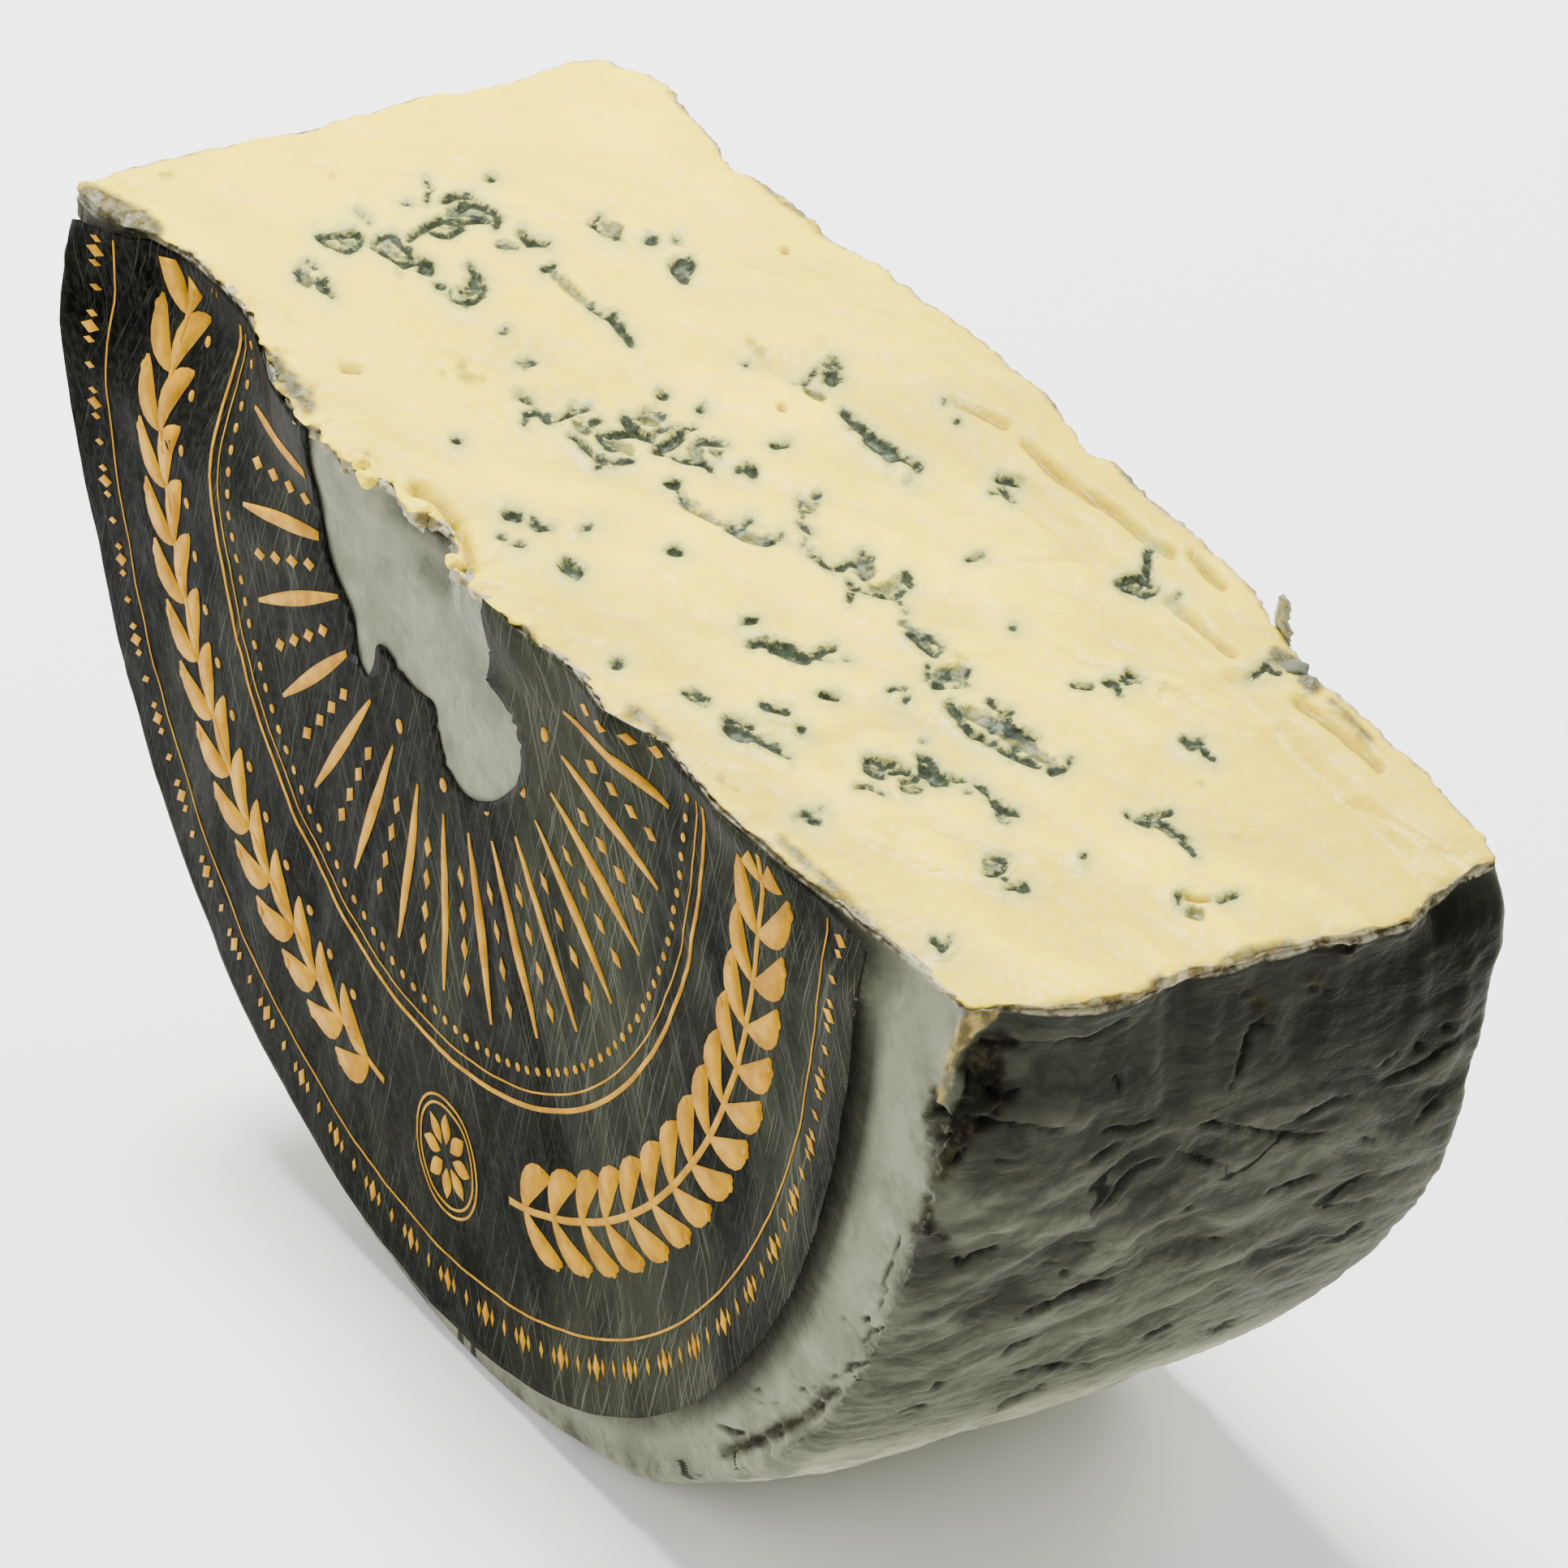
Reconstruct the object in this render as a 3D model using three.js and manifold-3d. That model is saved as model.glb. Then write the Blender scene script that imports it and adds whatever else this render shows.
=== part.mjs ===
// Half of a soft blue cheese wheel, standing on its round side with the cut facing up.
// Millimetres, +Z up. X runs along the cut, Y through the wheel from the labelled face at -Y
// to the bare face at +Y. The origin is under the middle, on the surface that it stands on.

import * as THREE from 'three';
import * as BufferGeometryUtils from 'three/addons/utils/BufferGeometryUtils.js';
import { ImprovedNoise } from 'three/addons/math/ImprovedNoise.js';
import Module from 'manifold-3d';

// Driving dimensions of the wheel
const wheelRadius = 100;
const wheelThickness = 66;
const frontBulge = 2;
const backBulge = 3.4;
const frontShoulder = { inset: 2.3, length: 13.5 };
const backShoulder = { inset: 2.4, length: 12.5 };
const backTaper = 1;
const centreAboveCut = 3;
const rest = { depth: 2, halfWidth: 20 };

// Dents just under the cut, in the labelled face near the far end and in the bare face
const frontDents = [{ at: -72, width: 24, depth: 5, below: 18 }];
const backDents = [
  { at: -56, width: 11, depth: 3.2, below: 24 },
  { at: 47, width: 10, depth: 2.4, below: 20 },
];

// The cut: crowned along its length, lower at the near end, with a smooth band behind a groove
const crown = 3;
const endDrop = 1.8;
const band = { fromEdge: 8.5, rise: 0.7, inner: 2, outer: 1 };
const groove = { depth: 0.9, width: 1.8, from: -10, to: 20 };
const folds = { depth: 0.35, length: 31, slant: 0.5 };
const tornLip = { width: 7, depth: 1.1, grain: 4.2, even: 0.6 };

// Pockets where the mould grew, in loose rows slanting across the cut
const pockets = { rows: 4, perRow: 9, margin: 13, scatter: 5.5, seed: 41 };
const pocket = { depth: [0.68, 1.7], radius: [1.3, 2.65] };

// Relief of the rind
const wrinkle = { depth: 1.3, along: 26, across: 7, level: 0.75, wander: 3.2, wanderLength: 40 };
const swell = { depth: 1.1, length: 38 };
const rimBlend = { from: 90, to: 98.5 };
const axisBlend = 20;
const restBlend = { from: 80, to: 95 };
const tornCorner = { depth: 4.5, radius: 12, inward: 2, below: 8, grain: 5, even: 0.7, uneven: 0.5 };
const flake = { at: 48, height: 6, width: 9, thickness: 2.2, rootDepth: 4, turn: 0.35, tip: 0.3 };

// The label: a thin round film, off centre towards the far end, with its near edge standing off
const labelRadius = 89.5;
const labelShift = { x: -7.5, z: -2.8 };
const labelFilm = 0.4;
const labelGap = 0.5;
const labelBelowCut = 1;
const labelLift = { height: 1.8, width: 13, from: -25, to: 50 };

// A lobed window in the label, where the rind shows, open to the cut
const windowReach = 30;
const windowLobes = [
  { x: -24, z: -6, rx: 12, rz: 16 },
  { x: -8, z: -3, rx: 13.5, rz: 15 },
  { x: 1, z: -14, rx: 9.5, rz: 11 },
];

// Mesh fineness
const wheelSegments = 152;
const faceSteps = 9;
const shoulderSteps = 4;
const rimSteps = 10;
const cutStep = 3.3;
const labelSegments = 80;
const labelSteps = 7;
const lobeSegments = 20;
const flakeSides = 6;
const flakeRings = 3;
const mergeDistance = 1e-4;

const colours = { cheese: 0xe9dda6, label: 0x24262a };

const wasm = await Module();
wasm.setup();
const noise = new ImprovedNoise();
const { smoothstep, lerp, seededRandom } = THREE.MathUtils;

function bell(distance, width) {
  return Math.exp(-((distance / width) ** 2));
}

function ridge(x, y, z) {
  return 1 - 2 * Math.abs(noise.noise(x, y, z));
}

// Solids from geometry and back

function toSolid(geometry) {
  const bare = geometry.clone();
  bare.deleteAttribute('normal');
  bare.deleteAttribute('uv');
  const merged = BufferGeometryUtils.mergeVertices(bare, mergeDistance);
  const mesh = new wasm.Mesh({
    numProp: 3,
    vertProperties: Float32Array.from(merged.attributes.position.array),
    triVerts: Uint32Array.from(merged.index.array),
  });
  return new wasm.Manifold(mesh);
}

function toGeometry(solid) {
  const mesh = solid.getMesh();
  const geometry = new THREE.BufferGeometry();
  geometry.setAttribute('position', new THREE.BufferAttribute(mesh.vertProperties, 3));
  geometry.setIndex(new THREE.BufferAttribute(mesh.triVerts, 1));
  geometry.computeVertexNormals();
  return geometry;
}

// Moves each vertex of a geometry to the place that the function gives for it
function reshape(geometry, place) {
  const position = geometry.attributes.position;
  const point = new THREE.Vector3();
  for (let i = 0; i < position.count; i++) {
    point.fromBufferAttribute(position, i);
    place(point, i);
    position.setXYZ(i, point.x, point.y, point.z);
  }
  return geometry;
}

// The wheel

const frontY = -wheelThickness / 2;
const backY = wheelThickness / 2;
const frontFlat = wheelRadius - frontShoulder.inset;
const backFlat = wheelRadius - backTaper - backShoulder.inset;
const floorZ = centreAboveCut - wheelRadius + rest.depth;

// How far a face is pressed in at x, and at z below the cut
function pressedIn(dents, x, z) {
  let depth = 0;
  for (const dent of dents) {
    depth += dent.depth * bell(x - dent.at, dent.width) * (1 - smoothstep(-z, 0, dent.below));
  }
  return depth;
}

function frontFace(radius) {
  return frontY - frontBulge * (1 - (radius / frontFlat) ** 2);
}

function backFace(radius) {
  return backY + backBulge * (1 - (radius / backFlat) ** 2);
}

function wheelProfile() {
  const points = [];
  for (let i = 0; i < faceSteps; i++) {
    const radius = (frontFlat * i) / faceSteps;
    points.push(new THREE.Vector2(radius, frontFace(radius)));
  }
  for (let i = 0; i < shoulderSteps; i++) {
    const turn = ((Math.PI / 2) * i) / shoulderSteps;
    const radius = frontFlat + frontShoulder.inset * Math.sin(turn);
    points.push(new THREE.Vector2(radius, frontY + frontShoulder.length * (1 - Math.cos(turn))));
  }
  const rimFrom = frontY + frontShoulder.length;
  const rimTo = backY - backShoulder.length;
  for (let i = 0; i < rimSteps; i++) {
    const share = i / rimSteps;
    points.push(new THREE.Vector2(wheelRadius - backTaper * share, lerp(rimFrom, rimTo, share)));
  }
  for (let i = 0; i < shoulderSteps; i++) {
    const turn = (Math.PI / 2) * (1 - i / shoulderSteps);
    const radius = backFlat + backShoulder.inset * Math.sin(turn);
    points.push(new THREE.Vector2(radius, backY - backShoulder.length * (1 - Math.cos(turn))));
  }
  for (let i = faceSteps; i >= 0; i--) {
    const radius = (backFlat * i) / faceSteps;
    points.push(new THREE.Vector2(radius, backFace(radius)));
  }
  return points;
}

// Wrinkles run round the rim and slant a little, the faces only swell, and the flat spot is plain
function rindRelief(x, y, z) {
  const radius = Math.hypot(x, z);
  const round = Math.atan2(z, x) * wheelRadius;
  const wander = wrinkle.wander * noise.noise(round / wrinkle.wanderLength, y / wrinkle.wanderLength, 5);
  const lines = ridge(round / wrinkle.along, (y + wander) / wrinkle.across, 1.7) - wrinkle.level;
  const lumps = noise.noise(x / swell.length, y / swell.length, z / swell.length);
  const onRim = smoothstep(radius, rimBlend.from, rimBlend.to);
  const offAxis = smoothstep(radius, 0, axisBlend);
  const overRest = 1 - smoothstep(Math.abs(x), rest.halfWidth, 2 * rest.halfWidth);
  const offRest = 1 - overRest * smoothstep(-z, restBlend.from, restBlend.to);
  return offRest * (onRim * wrinkle.depth * lines + offAxis * swell.depth * lumps);
}

function cornerTear(x, y, z) {
  const { depth, radius, inward, below, grain, even, uneven } = tornCorner;
  const away = Math.hypot(x - wheelRadius, y - frontY - inward, z + below);
  const ragged = even + uneven * noise.noise(x / grain, y / grain, z / grain);
  return depth * bell(away, radius) * ragged;
}

function wheel() {
  const geometry = new THREE.LatheGeometry(wheelProfile(), wheelSegments);
  const normals = geometry.attributes.normal;
  reshape(geometry, (point, i) => {
    const { x, y, z } = point;
    const under = z + centreAboveCut;
    const relief = y < frontFace(Math.hypot(x, z)) + 1 ? 0 : rindRelief(x, y, z);
    const out = relief - cornerTear(x, y, under);
    point.x += normals.getX(i) * out;
    point.y += normals.getY(i) * out;
    point.z += normals.getZ(i) * out + centreAboveCut;
    const towardsBack = smoothstep(y, frontY, backY);
    point.y += pressedIn(frontDents, x, under) * (1 - towardsBack);
    point.y -= pressedIn(backDents, x, under) * towardsBack;
  });
  return toSolid(geometry);
}

// The cut

function pocketPlaces() {
  seededRandom(pockets.seed);
  const places = [];
  for (let row = 0; row < pockets.rows; row++) {
    for (let k = 0; k < pockets.perRow; k++) {
      const along = (k + 0.5) / pockets.perRow - 0.5;
      const across = (row + 0.5) / pockets.rows - 0.5;
      places.push({
        x: 2 * along * (wheelRadius - pockets.margin) + pockets.scatter * (seededRandom() - 0.5),
        y: across * (wheelThickness - 2 * pockets.margin) + 2 * pockets.scatter * (seededRandom() - 0.5),
        radius: lerp(...pocket.radius, seededRandom()),
        depth: lerp(...pocket.depth, seededRandom()),
      });
    }
  }
  return places;
}

const pocketList = pocketPlaces();

function cutHeight(x, y) {
  const along = x / wheelRadius;
  const fromBack = backY - y;
  const fromFront = y - frontY;
  let height = crown * (1 - along * along) - endDrop * along;
  height += folds.depth * Math.sin((2 * Math.PI * (x + folds.slant * y)) / folds.length);
  height += band.rise * (1 - smoothstep(fromBack, band.fromEdge - band.inner, band.fromEdge + band.outer));
  const grooved = smoothstep(x, groove.from, groove.to);
  height -= groove.depth * grooved * bell(fromBack - band.fromEdge, groove.width);
  const torn = 1 - smoothstep(fromFront, 0, tornLip.width);
  height -= tornLip.depth * torn * (tornLip.even + noise.noise(x / tornLip.grain, y / tornLip.grain, 2.4));
  for (const place of pocketList) {
    height -= place.depth * bell(Math.hypot(x - place.x, y - place.y), place.radius);
  }
  return height;
}

// Everything under the cut and above the floor, lowered at the top where asked
function belowCut(lowered) {
  const width = wheelRadius * 2.3;
  const depth = wheelThickness * 1.5;
  const height = -floorZ;
  const columns = Math.round(width / cutStep);
  const rows = Math.round(depth / cutStep);
  const geometry = new THREE.BoxGeometry(width, depth, height, columns, rows, 1);
  geometry.translate(0, 0, -height / 2);
  reshape(geometry, (point) => {
    if (point.z > floorZ / 2) {
      point.z = cutHeight(point.x, point.y) - lowered;
    }
  });
  return toSolid(geometry);
}

// A flake of rind that stands up from the back edge
function rindFlake() {
  const total = flake.height + flake.rootDepth;
  const geometry = new THREE.ConeGeometry(flake.width / 2, total, flakeSides, flakeRings);
  geometry.rotateX(Math.PI / 2);
  geometry.scale(1, flake.thickness / flake.width, 1);
  geometry.rotateZ(flake.turn);
  geometry.rotateX(-flake.tip);
  const middle = cutHeight(flake.at, backY) + total / 2 - flake.rootDepth;
  geometry.translate(flake.at, backY - flake.thickness / 2, middle);
  return toSolid(geometry);
}

// The label

function labelProfile() {
  const points = [];
  for (let i = 0; i <= labelSteps; i++) {
    points.push(new THREE.Vector2((labelRadius * i) / labelSteps, -labelFilm));
  }
  for (let i = labelSteps; i >= 0; i--) {
    points.push(new THREE.Vector2((labelRadius * i) / labelSteps, 0));
  }
  return points;
}

function labelStandsOff(x, z) {
  const fromEdge = labelRadius - Math.hypot(x - labelShift.x, z - labelShift.z);
  const near = smoothstep(x, labelLift.from, labelLift.to);
  return labelLift.height * near * (1 - smoothstep(fromEdge, 0, labelLift.width));
}

function labelDisc() {
  const geometry = new THREE.LatheGeometry(labelProfile(), labelSegments);
  geometry.translate(labelShift.x, 0, labelShift.z);
  reshape(geometry, (point) => {
    const radius = Math.hypot(point.x, point.z - centreAboveCut);
    point.y += frontFace(radius) + pressedIn(frontDents, point.x, point.z) - labelGap;
    point.y -= labelStandsOff(point.x, point.z);
  });
  return toSolid(geometry);
}

function windowLobe(lobe) {
  const outline = new THREE.Shape();
  outline.absellipse(lobe.x, lobe.z, lobe.rx, lobe.rz, 0, 2 * Math.PI);
  const geometry = new THREE.ExtrudeGeometry(outline, {
    depth: windowReach,
    bevelEnabled: false,
    curveSegments: lobeSegments,
  });
  geometry.rotateX(Math.PI / 2);
  geometry.translate(0, frontY + windowReach / 2, 0);
  return toSolid(geometry);
}

// The part

function cheese() {
  const solid = wheel().intersect(belowCut(0)).add(rindFlake());
  const material = new THREE.MeshStandardMaterial({ color: colours.cheese, roughness: 0.6, metalness: 0 });
  const mesh = new THREE.Mesh(toGeometry(solid), material);
  mesh.name = 'cheese';
  return mesh;
}

function label() {
  let solid = labelDisc().intersect(belowCut(labelBelowCut));
  for (const lobe of windowLobes) {
    solid = solid.subtract(windowLobe(lobe));
  }
  const material = new THREE.MeshStandardMaterial({ color: colours.label, roughness: 0.45, metalness: 0 });
  const mesh = new THREE.Mesh(toGeometry(solid), material);
  mesh.name = 'label';
  return mesh;
}

const halfWheel = new THREE.Group();
halfWheel.add(cheese(), label());

// Sets the middle of the part over the origin, with its flat spot on the floor
const box = new THREE.Box3().setFromObject(halfWheel);
const middle = box.getCenter(new THREE.Vector3());
halfWheel.position.set(-middle.x, -middle.y, -floorZ);

export default halfWheel;
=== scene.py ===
# Half of a soft blue cheese wheel, standing on its round side with the veined cut facing up.
# Shapes are worked out in millimetres from the middle of the cut: X along the cut, Y from the
# labelled face to the bare one, Z up. Each finished mesh is then moved to the frame, in metres.

import math
from types import SimpleNamespace

import bmesh
import bpy
import numpy as np
from mathutils import Matrix, Vector, noise


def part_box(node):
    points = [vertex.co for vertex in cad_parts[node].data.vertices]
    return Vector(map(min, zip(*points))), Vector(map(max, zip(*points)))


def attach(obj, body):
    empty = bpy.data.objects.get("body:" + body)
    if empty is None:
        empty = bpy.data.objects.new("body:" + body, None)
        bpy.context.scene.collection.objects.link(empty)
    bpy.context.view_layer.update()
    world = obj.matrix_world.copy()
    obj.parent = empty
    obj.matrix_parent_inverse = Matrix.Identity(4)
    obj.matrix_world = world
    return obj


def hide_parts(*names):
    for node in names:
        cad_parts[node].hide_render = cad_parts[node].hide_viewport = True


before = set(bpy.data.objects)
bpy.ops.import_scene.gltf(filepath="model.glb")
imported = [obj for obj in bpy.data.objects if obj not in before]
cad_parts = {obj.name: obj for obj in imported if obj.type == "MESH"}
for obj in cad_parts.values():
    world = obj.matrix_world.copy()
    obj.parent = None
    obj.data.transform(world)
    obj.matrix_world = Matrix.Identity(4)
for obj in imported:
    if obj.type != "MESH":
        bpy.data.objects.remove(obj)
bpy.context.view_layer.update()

MM = 0.001
QUARTER = math.pi / 2

# The wheel, in millimetres
RADIUS = 100.0
THICKNESS = 66.0
FRONT_BULGE = 2.0
BACK_BULGE = 3.4
FRONT_SHOULDER = 13.5
FRONT_INSET = 2.3
BACK_SHOULDER = 12.5
BACK_INSET = 2.4
BACK_TAPER = 1.0
CENTRE = 3.0
REST_DEPTH = 2.0
# Dents: where along the cut, how wide, how deep, and how far below the cut they fade out
FRONT_DENTS = ((-72.0, 24.0, 5.0, 18.0),)
BACK_DENTS = ((-56.0, 11.0, 3.2, 24.0), (47.0, 10.0, 2.4, 20.0))
# The swell at the far end of the labelled face, the torn corner and the worn lower back corner
SWELL_AT = -101.0
SWELL_WIDTH = 11.0
SWELL_HEIGHT = 2.2
TEAR_AT = (100.0, -31.0, -5.0)
TEAR_DEPTH = 3.6
TEAR_WIDTH = 11.0
WORN_AT = (68.0, 30.0, -66.0)
WORN_DEPTH = 1.8
WORN_WIDTH = 24.0
# Both corners go in along a diagonal, by this share of their depth along each of two axes
DIAGONAL = 0.7
FRONT_Y = -THICKNESS / 2
BACK_Y = THICKNESS / 2
FLOOR = CENTRE - RADIUS + REST_DEPTH
FRONT_FLAT = RADIUS - FRONT_INSET
BACK_FLAT = RADIUS - BACK_TAPER - BACK_INSET

# The cut
CROWN = 3.0
END_DROP = 1.8
BAND_WIDTH = 8.5
BAND_RISE = 0.7
GROOVE_DEPTH = 0.9
GROOVE_WIDTH = 1.8
# Where along the cut the groove begins, and where it is whole, in radii
GROOVE_FROM = (-0.1, 0.2)
# How far down the rim the cut's form dies away
FADE = 34.0

# The rind and the label
RIND = 1.0
LABEL_RADIUS = 89.5
LABEL_X = -7.5
LABEL_Z = -2.8
LABEL_OFF = 0.45
LABEL_LIFT = 1.5
LABEL_LIFT_WIDTH = 13.0
LABEL_CURL = 0.5
LABEL_BELOW = 0.35
FILM = 0.12
# The window's lobes: middle across and up, then half their width and height
WINDOW = (
    (-24.0, -3.0, 13.2, 13.0), (-14.0, -5.5, 12.0, 12.5), (-6.0, -1.0, 10.5, 11.0),
    (-3.0, -18.0, 6.5, 7.0), (0.4, -16.6, 6.8, 6.6), (3.6, -14.8, 6.4, 5.4), (-25.4, -15.5, 2.4, 6.5),
)
WINDOW_BLEND = 0.8
# Vertices this near the window's edge are moved onto it, and its slope is measured over this step
WINDOW_REACH = 0.55
SLOPE_STEP = 0.05

# How fine the meshes are: columns and rows of their grids, and steps down round the rim
PASTE_GRID = (500, 164)
RIND_GRID = (60, 110)
RIND_STEPS = 262
LABEL_GRID = (220, 110)
FLAKE_GRID = (12, 20)

# What has turned less than this from the cut is its top, where the paste lies this far inside the rim
ON_TOP = 0.001
PASTE_INSET = 0.25
# The paste goes on under the rind: how deep its loops of edges lie, and how far round
PASTE_LIP = (
    (0.5, (0.007, 0.018)),
    (RIND + 0.1, (0.03,)),
    (RIND + 2.0, (0.07, 0.2, 0.5, 0.9, 1.25)),
)
# How far round the loops of the rind's lining lie
RIND_LINING = (0.0, 0.01, 0.1, 0.3, 0.6, 0.9, 1.2, 1.4, QUARTER)

# Where the wheel's own zero lies in the frame: the cut is this far above the floor
ZERO = Vector((0.0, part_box("cheese")[0][1] / MM - FRONT_Y + FRONT_BULGE, -FLOOR))

# The photograph's camera, with its distance and aim in wheel radii
IMAGE = 1932
VIEW_AZIMUTH = 60.68
VIEW_ELEVATION = 29.18
VIEW_ROLL = 1.13
VIEW_DISTANCE = 25.11
VIEW_AIM = (0.0315, 0.0, -0.298)
FOCAL = 29221.5
SENSOR = 36.0


def view_axes():
    """Right, up and back of the camera, as rows."""
    az = math.radians(VIEW_AZIMUTH)
    el = math.radians(VIEW_ELEVATION)
    roll = math.radians(VIEW_ROLL)
    back = np.array((math.sin(az) * math.cos(el), -math.cos(az) * math.cos(el), math.sin(el)))
    right = np.array((math.cos(az), math.sin(az), 0.0))
    up = np.cross(back, right)
    return np.array((
        right * math.cos(roll) + up * math.sin(roll),
        up * math.cos(roll) - right * math.sin(roll),
        back,
    ))


def make_camera():
    axes = view_axes()
    eye = (np.array(VIEW_AIM) + axes[2] * VIEW_DISTANCE) * RADIUS + np.array(ZERO)
    data = bpy.data.cameras.new("camera")
    data.sensor_width = SENSOR
    data.lens = FOCAL / IMAGE * SENSOR
    data.clip_end = 100.0
    camera = bpy.data.objects.new("camera", data)
    camera.matrix_world = Matrix.Translation(Vector(eye) * MM) @ Matrix(axes.T.tolist()).to_4x4()
    bpy.context.scene.collection.objects.link(camera)
    bpy.context.scene.camera = camera


def to_photo(points):
    """Pixels of the photograph in which these points of the wheel show, as the camera sees them."""
    axes = view_axes()
    seen = (points / RADIUS - np.array(VIEW_AIM)) @ axes.T
    away = VIEW_DISTANCE - seen[:, 2]
    return np.stack((IMAGE / 2 + FOCAL * seen[:, 0] / away, IMAGE / 2 - FOCAL * seen[:, 1] / away), axis=1)


# Pixels in a millimetre of the wheel
PX = FOCAL / VIEW_DISTANCE / RADIUS

make_camera()


# Shape of the wheel

def smooth(value, low, high):
    """Rises from 0 at low to 1 at high."""
    t = np.clip((value - low) / (high - low), 0.0, 1.0)
    return t * t * (3.0 - 2.0 * t)


def fade(value, low, high):
    """Falls from 1 at low to 0 at high."""
    return 1.0 - smooth(value, low, high)


def bell(distance, width):
    """1 at no distance, on either side of which it dies away in about twice the width."""
    return np.exp(-((distance / width) ** 2))


def beside(away, width):
    """1 inside a mark, past whose edge it dies away."""
    return bell(np.maximum(away, 0.0), width)


def flat_map(first, second):
    """Points of a flat map, with no height."""
    return np.stack((first, second, np.zeros(len(first))), axis=1)


def front_face(radius):
    return FRONT_Y - FRONT_BULGE * (1.0 - (radius / FRONT_FLAT) ** 2)


def back_face(radius):
    return BACK_Y + BACK_BULGE * (1.0 - (radius / BACK_FLAT) ** 2)


def rim_radius(y):
    front = np.clip((FRONT_Y + FRONT_SHOULDER - y) / FRONT_SHOULDER, 0.0, 1.0)
    back = np.clip((y - BACK_Y + BACK_SHOULDER) / BACK_SHOULDER, 0.0, 1.0)
    along = np.clip((y - FRONT_Y - FRONT_SHOULDER) / (THICKNESS - FRONT_SHOULDER - BACK_SHOULDER), 0.0, 1.0)
    radius = RADIUS - BACK_TAPER * along
    radius = radius - FRONT_INSET * (1.0 - np.sqrt(1.0 - front ** 2))
    return radius - BACK_INSET * (1.0 - np.sqrt(1.0 - back ** 2))


def pressed_in(dents, x, z):
    """How far a face is pressed in at x, and at z below the cut."""
    depth = np.zeros(np.shape(x))
    for at, width, deep, below in dents:
        depth = depth + deep * bell(x - at, width) * fade(-z, 0.0, below)
    return depth


def front_swell(x, z):
    """How far the labelled face swells out at its far end, below the rim of the cut."""
    swell = SWELL_HEIGHT * bell(x - SWELL_AT, SWELL_WIDTH)
    return swell * smooth(-z, 0.0, 6.0) * fade(-z, 8.0, 52.0)


def noise_at(points, size, seed=0.0, octaves=1, stretch=(1.0, 1.0, 1.0)):
    """Smooth noise from -1 to 1 in lumps of about this size, at each point."""
    scaled = points / (np.array(stretch) * size) + seed * 17.3
    if octaves == 1:
        return np.array([noise.noise(p) for p in scaled.tolist()])
    return np.array([noise.fractal(p, 0.9, 2.1, octaves) for p in scaled.tolist()])


def ridge_at(points, size, seed=0.0, stretch=(1.0, 1.0, 1.0)):
    """Sharp creases from 0 to 1."""
    return 1.0 - np.abs(noise_at(points, size, seed, 1, stretch)) * 2.0


def turned(flat, degrees):
    """Points of a flat map, turned in it, so that what is drawn along its second axis slants."""
    turn = math.radians(degrees)
    first = flat[:, 0] * math.cos(turn) + flat[:, 1] * math.sin(turn)
    second = flat[:, 1] * math.cos(turn) - flat[:, 0] * math.sin(turn)
    return flat_map(first, second)


def cut_height(x, y):
    """The cut's own form, before its small relief."""
    along = x / RADIUS
    from_back = BACK_Y - y
    height = CROWN * (1.0 - along ** 2) - END_DROP * along
    height = height + BAND_RISE * fade(from_back, BAND_WIDTH - 2.0, BAND_WIDTH + 1.0)
    groove = GROOVE_DEPTH * bell(from_back - BAND_WIDTH, GROOVE_WIDTH) * smooth(along, *GROOVE_FROM)
    return height - groove


def on_cut(pixel):
    """The point of the cut that shows at this pixel of the photograph."""
    right, up, back = view_axes()
    eye = (np.array(VIEW_AIM) + back * VIEW_DISTANCE) * RADIUS
    ray = right * (pixel[0] - IMAGE / 2) / FOCAL + up * (IMAGE / 2 - pixel[1]) / FOCAL - back
    height = 0.0
    for _ in range(4):
        point = eye + ray * (height - eye[2]) / ray[2]
        height = float(cut_height(point[0], point[1]))
    return point


# The rims of the cut, read off the photograph in pixels
FRONT_RIM = (
    (98, 254), (132, 266), (173, 281), (197, 288), (233, 307), (260, 330), (287, 357), (307, 380),
    (319, 402), (330, 430), (338, 462), (352, 488), (372, 508), (392, 524), (408, 543), (420, 560),
    (440, 566), (462, 584), (480, 586), (490, 598), (498, 614), (508, 627), (522, 632), (533, 628),
    (544, 640), (554, 656), (561, 672), (556, 690), (552, 708), (560, 726), (572, 745), (590, 753),
    (612, 760), (632, 767), (652, 774), (668, 786), (690, 799), (715, 822), (730, 846), (745, 870),
    (770, 882), (800, 897), (823, 912), (840, 933), (862, 958), (885, 987), (912, 1010), (940, 1033),
    (965, 1056), (985, 1072), (1010, 1090), (1040, 1112), (1070, 1136), (1100, 1158), (1124, 1182),
    (1146, 1214), (1166, 1242), (1184, 1264),
)
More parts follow.
